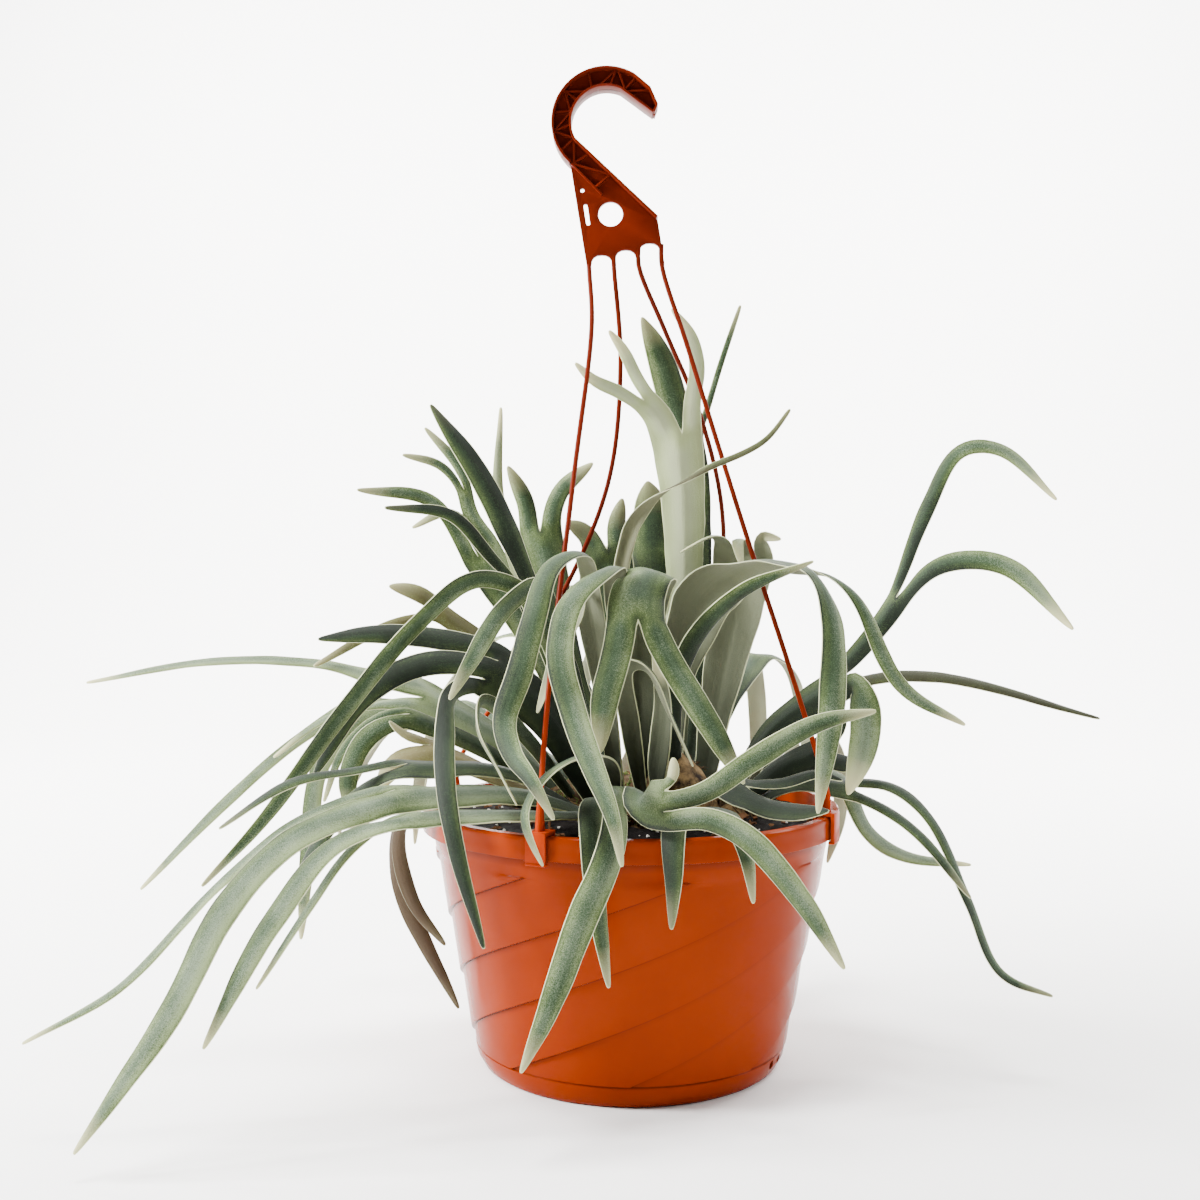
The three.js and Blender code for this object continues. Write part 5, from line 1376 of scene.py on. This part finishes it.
class FERN_OT_hanger(bpy.types.Operator):
    """Moulds the hanger in one piece: hook, ribs, plate, four strands and their rim clips"""
    bl_idname = "fern.hanger"
    bl_label = "Hanger"

    def execute(self, context):
        hanger = settings("hanger")
        rib = hanger.rib_width / MM
        parts = [self.plate(hanger.plate_thickness / MM)]
        outer = arc(HOOK_CENTRE, HOOK_OUTER - rib / 2, *OUTER_ARC)
        inner = [(16, 505), *arc(HOOK_CENTRE, HOOK_INNER + rib / 2, *INNER_ARC), (13.6, 567.6)]
        nose = [outer[0], (11.4, 581.9), (15.8, 572), (14, 567.6)]
        parts += [band(line, rib, HOOK_DEPTH) for line in (outer, inner, nose)]
        parts += [band(line, rib * 0.8, 9) for line in TRUSS]
        for name, turn in CLIP_TURNS.items():
            parts += self.strand(name, math.radians(turn), hanger.strand_width / MM / 2)
        piece = joined("hanger", parts)
        bpy.ops.object.mode_set(mode="EDIT")
        bpy.ops.mesh.select_all(action="SELECT")
        bpy.ops.mesh.remove_doubles(threshold=1e-6)
        bpy.ops.object.mode_set(mode="OBJECT")
        plastic = plastic_material("Polypropylene, moulded, rust brown", hanger.colour, hanger.shade, 0.34,
                                   hanger.lower)
        nodes = ["hanger_strand_" + name for name in CLIP_TURNS]
        finished(piece, "hanger_plastic", [plastic], "hanger_hook", *nodes, angle=35)
        return {"FINISHED"}

    def plate(self, thickness):
        outer = arc(HOOK_CENTRE, HOOK_OUTER, *OUTER_ARC)
        inner = arc(HOOK_CENTRE, HOOK_INNER, *INNER_ARC)
        foot = STRAND_TOP + 1.1
        notch = [(-6, -5), (-5.8, -3.2), (-4.6, -1.4), (-2.6, -0.3), (0, 0), (2.6, -0.3), (4.6, -1.4),
                 (5.8, -3.2), (6, -5)]
        legs = []
        for middle, top, left, right in ((-17.3, 483.4, -23.4, -11.3), (-2.8, 486.4, -8.9, 3.4),
                                         (11.6, 490.4, 6, 17.6)):
            legs += [(left, foot), *[(middle + x, top + z) for x, z in notch], (right, foot)]
        outline = [*outer, (-36.3, 538), (-26.6, foot), *legs, (20.6, foot), SHOULDER, *inner,
                   (14.8, 566.6), (16.5, 572), (12, 582.5)]
        slot = [(-28.3, 513.5), (-27.6, 514.2), (-26.6, 514.2), (-26, 513.5), (-24.3, 502), (-24.9, 501.3),
                (-26, 501.3), (-26.6, 502)]
        holes = [arc((-12, 508), 7.4, 360, 11.25, 31), arc((-29, 522.3), 1.3, 360, 30, 11), slot]
        return flat_piece(outline, thickness, holes)

    def strand(self, name, turn, radius):
        """One strand and its clip over the rim."""
        pot = settings("pot")
        height = pot.height / MM
        inside = wall_radius(height) - WALL - 2
        outside = pot.rim_radius / MM + CLIP_OUTSIDE
        bridge = height + CLIP_ABOVE
        bottom = height - CLIP_REACH
        middle = (inside + outside) / 2
        foot = Vector((middle * math.sin(turn), -middle * math.cos(turn), 0))
        knots = [Vector(p) for p in STRAND_PATHS[name]]
        knots += [foot + Vector((0, 0, height + 14)), foot + Vector((0, 0, bridge + 1))]
        route = Route(2 * knots[0] - knots[1], knots)
        count = 70
        path = [route.at(i / count) * MM for i in range(count + 1)]
        flare = [1 + 0.9 * max(0, 1 - (count - i) / 4) for i in range(count + 1)]
        strand = gathered("strand", [tube(path, [radius * wide * MM for wide in flare], 12)])
        # The clip's inner lip, its bridge over the rim, its outer arm and the barb under the rim band, each
        # as its least and greatest radius and height
        boxes = [(inside - CLIP_WALL, inside, bridge - 5, bridge + CLIP_WALL),
                 (inside - 0.5, outside + 0.5, bridge, bridge + CLIP_WALL),
                 (outside, outside + CLIP_WALL, bottom, bridge + CLIP_WALL),
                 (outside - 1.6, outside + CLIP_WALL, bottom - 1.6, bottom)]
        return [strand] + [block([near, -CLIP_HALF, low], [far, CLIP_HALF, high], turn)
                           for near, far, low, high in boxes]


# Stage

# Each light: its place, the point that it looks at, its size, and its power as a share of the key light's
LIGHTS = {
    "top": ((-0.2, -0.3, 1.9), (0, 0, 0.1), 0.5, 0.85),
    "left": ((-1.45, -0.35, 1.0), (0, 0, 0.2), 0.45, 1.6),
    "right": ((1.5, 0.1, 0.7), (0, 0, 0.2), 0.8, 0.3),
    "backdrop_left": ((-1.3, 0.9, 1.8), (-0.6, 2.6, 0.9), 1.2, 3.8),
    "backdrop_right": ((1.3, 0.9, 1.8), (0.6, 2.6, 0.9), 1.2, 3.8),
}
WORLD_STRENGTH = 0.13
# The paper lies flat and sweeps up behind: where its front and its bend are, its height and half its width
FLOOR_FRONT = -4.0
SWEEP_START = 1.6
SWEEP_RADIUS = 1.2
FLOOR_TOP = 4.0
FLOOR_HALF = 5.0
# How far the camera looks down and leans, in radians, and its lens in millimetres
CAMERA_DIP = 0.015
CAMERA_LEAN = 0.022
CAMERA_LENS = 41.36


class FERN_OT_stage(bpy.types.Operator):
    """Lays the pale floor, hangs the lights and sets the camera"""
    bl_idname = "fern.stage"
    bl_label = "Stage"

    def execute(self, context):
        stage = settings("stage")
        self.floor(stage)
        for name, (place, target, size, share) in LIGHTS.items():
            bpy.ops.object.light_add(type="AREA", location=place)
            lamp = bpy.context.view_layer.objects.active
            lamp.name = name
            lamp.data.size = size
            lamp.data.energy = stage.key_power * share
            lamp.rotation_euler = (Vector(target) - Vector(place)).to_track_quat("-Z", "Y").to_euler()
        world = context.scene.world or bpy.data.worlds.new("studio")
        context.scene.world = world
        world.use_nodes = True
        background = world.node_tree.nodes["Background"]
        background.inputs["Color"].default_value = (1, 1, 1, 1)
        background.inputs["Strength"].default_value = WORLD_STRENGTH
        bpy.ops.object.camera_add(location=(0, -stage.camera_distance, stage.camera_height),
                                  rotation=(math.pi / 2 - CAMERA_DIP, 0, CAMERA_LEAN))
        camera = bpy.context.view_layer.objects.active
        camera.data.sensor_width = 36
        camera.data.lens = CAMERA_LENS
        context.scene.camera = camera
        return {"FINISHED"}

    def floor(self, stage):
        steps = 16
        profile = [(FLOOR_FRONT, 0.0), (SWEEP_START, 0.0)]
        profile += [(SWEEP_START + SWEEP_RADIUS * math.sin(turn), SWEEP_RADIUS * (1 - math.cos(turn)))
                    for turn in [math.pi / 2 * i / steps for i in range(1, steps + 1)]]
        profile.append((SWEEP_START + SWEEP_RADIUS, FLOOR_TOP))
        points = [(x, y, z) for y, z in profile for x in (-FLOOR_HALF, FLOOR_HALF)]
        faces = [(2 * i, 2 * i + 1, 2 * i + 3, 2 * i + 2) for i in range(len(profile) - 1)]
        piece = mesh_piece("floor", points, faces)
        paper, _ = new_material("Paper backdrop, matt", {"Base Color": stage.floor, "Roughness": 0.9})
        piece.data.materials.append(paper)
        select_only(piece)
        bpy.ops.object.shade_smooth()


PIECES = (FERN_OT_pot, FERN_OT_potting_mix, FERN_OT_crown, FERN_OT_hanger, FERN_OT_fronds, FERN_OT_stage)
SETTINGS = {"pot": PotSettings, "soil": SoilSettings, "crown": CrownSettings, "hanger": HangerSettings,
            "frond": FrondSettings, "stage": StageSettings}


class FERN_PT_sidebar(bpy.types.Panel):
    """Lists the sizes, colours and pieces"""
    bl_label = "Fern basket"
    bl_idname = "FERN_PT_sidebar"
    bl_space_type = "VIEW_3D"
    bl_region_type = "UI"
    bl_category = "Fern basket"

    def draw(self, context):
        for name, group in SETTINGS.items():
            box = self.layout.box()
            box.label(text=name.title())
            for key in group.__annotations__:
                box.prop(settings(name), key)
        for piece in PIECES:
            self.layout.operator(piece.bl_idname)


CLASSES = (*SETTINGS.values(), *PIECES, FERN_PT_sidebar)


def register():
    for item in CLASSES:
        bpy.utils.register_class(item)
    for name, group in SETTINGS.items():
        setattr(bpy.types.Scene, "fern_" + name, bpy.props.PointerProperty(type=group))


def unregister():
    for name in SETTINGS:
        delattr(bpy.types.Scene, "fern_" + name)
    for item in reversed(CLASSES):
        bpy.utils.unregister_class(item)


def main():
    register()
    bpy.ops.fern.pot()
    bpy.ops.fern.potting_mix()
    bpy.ops.fern.crown()
    bpy.ops.fern.hanger()
    bpy.ops.fern.fronds()
    bpy.ops.fern.stage()


if __name__ == "__main__":
    main()
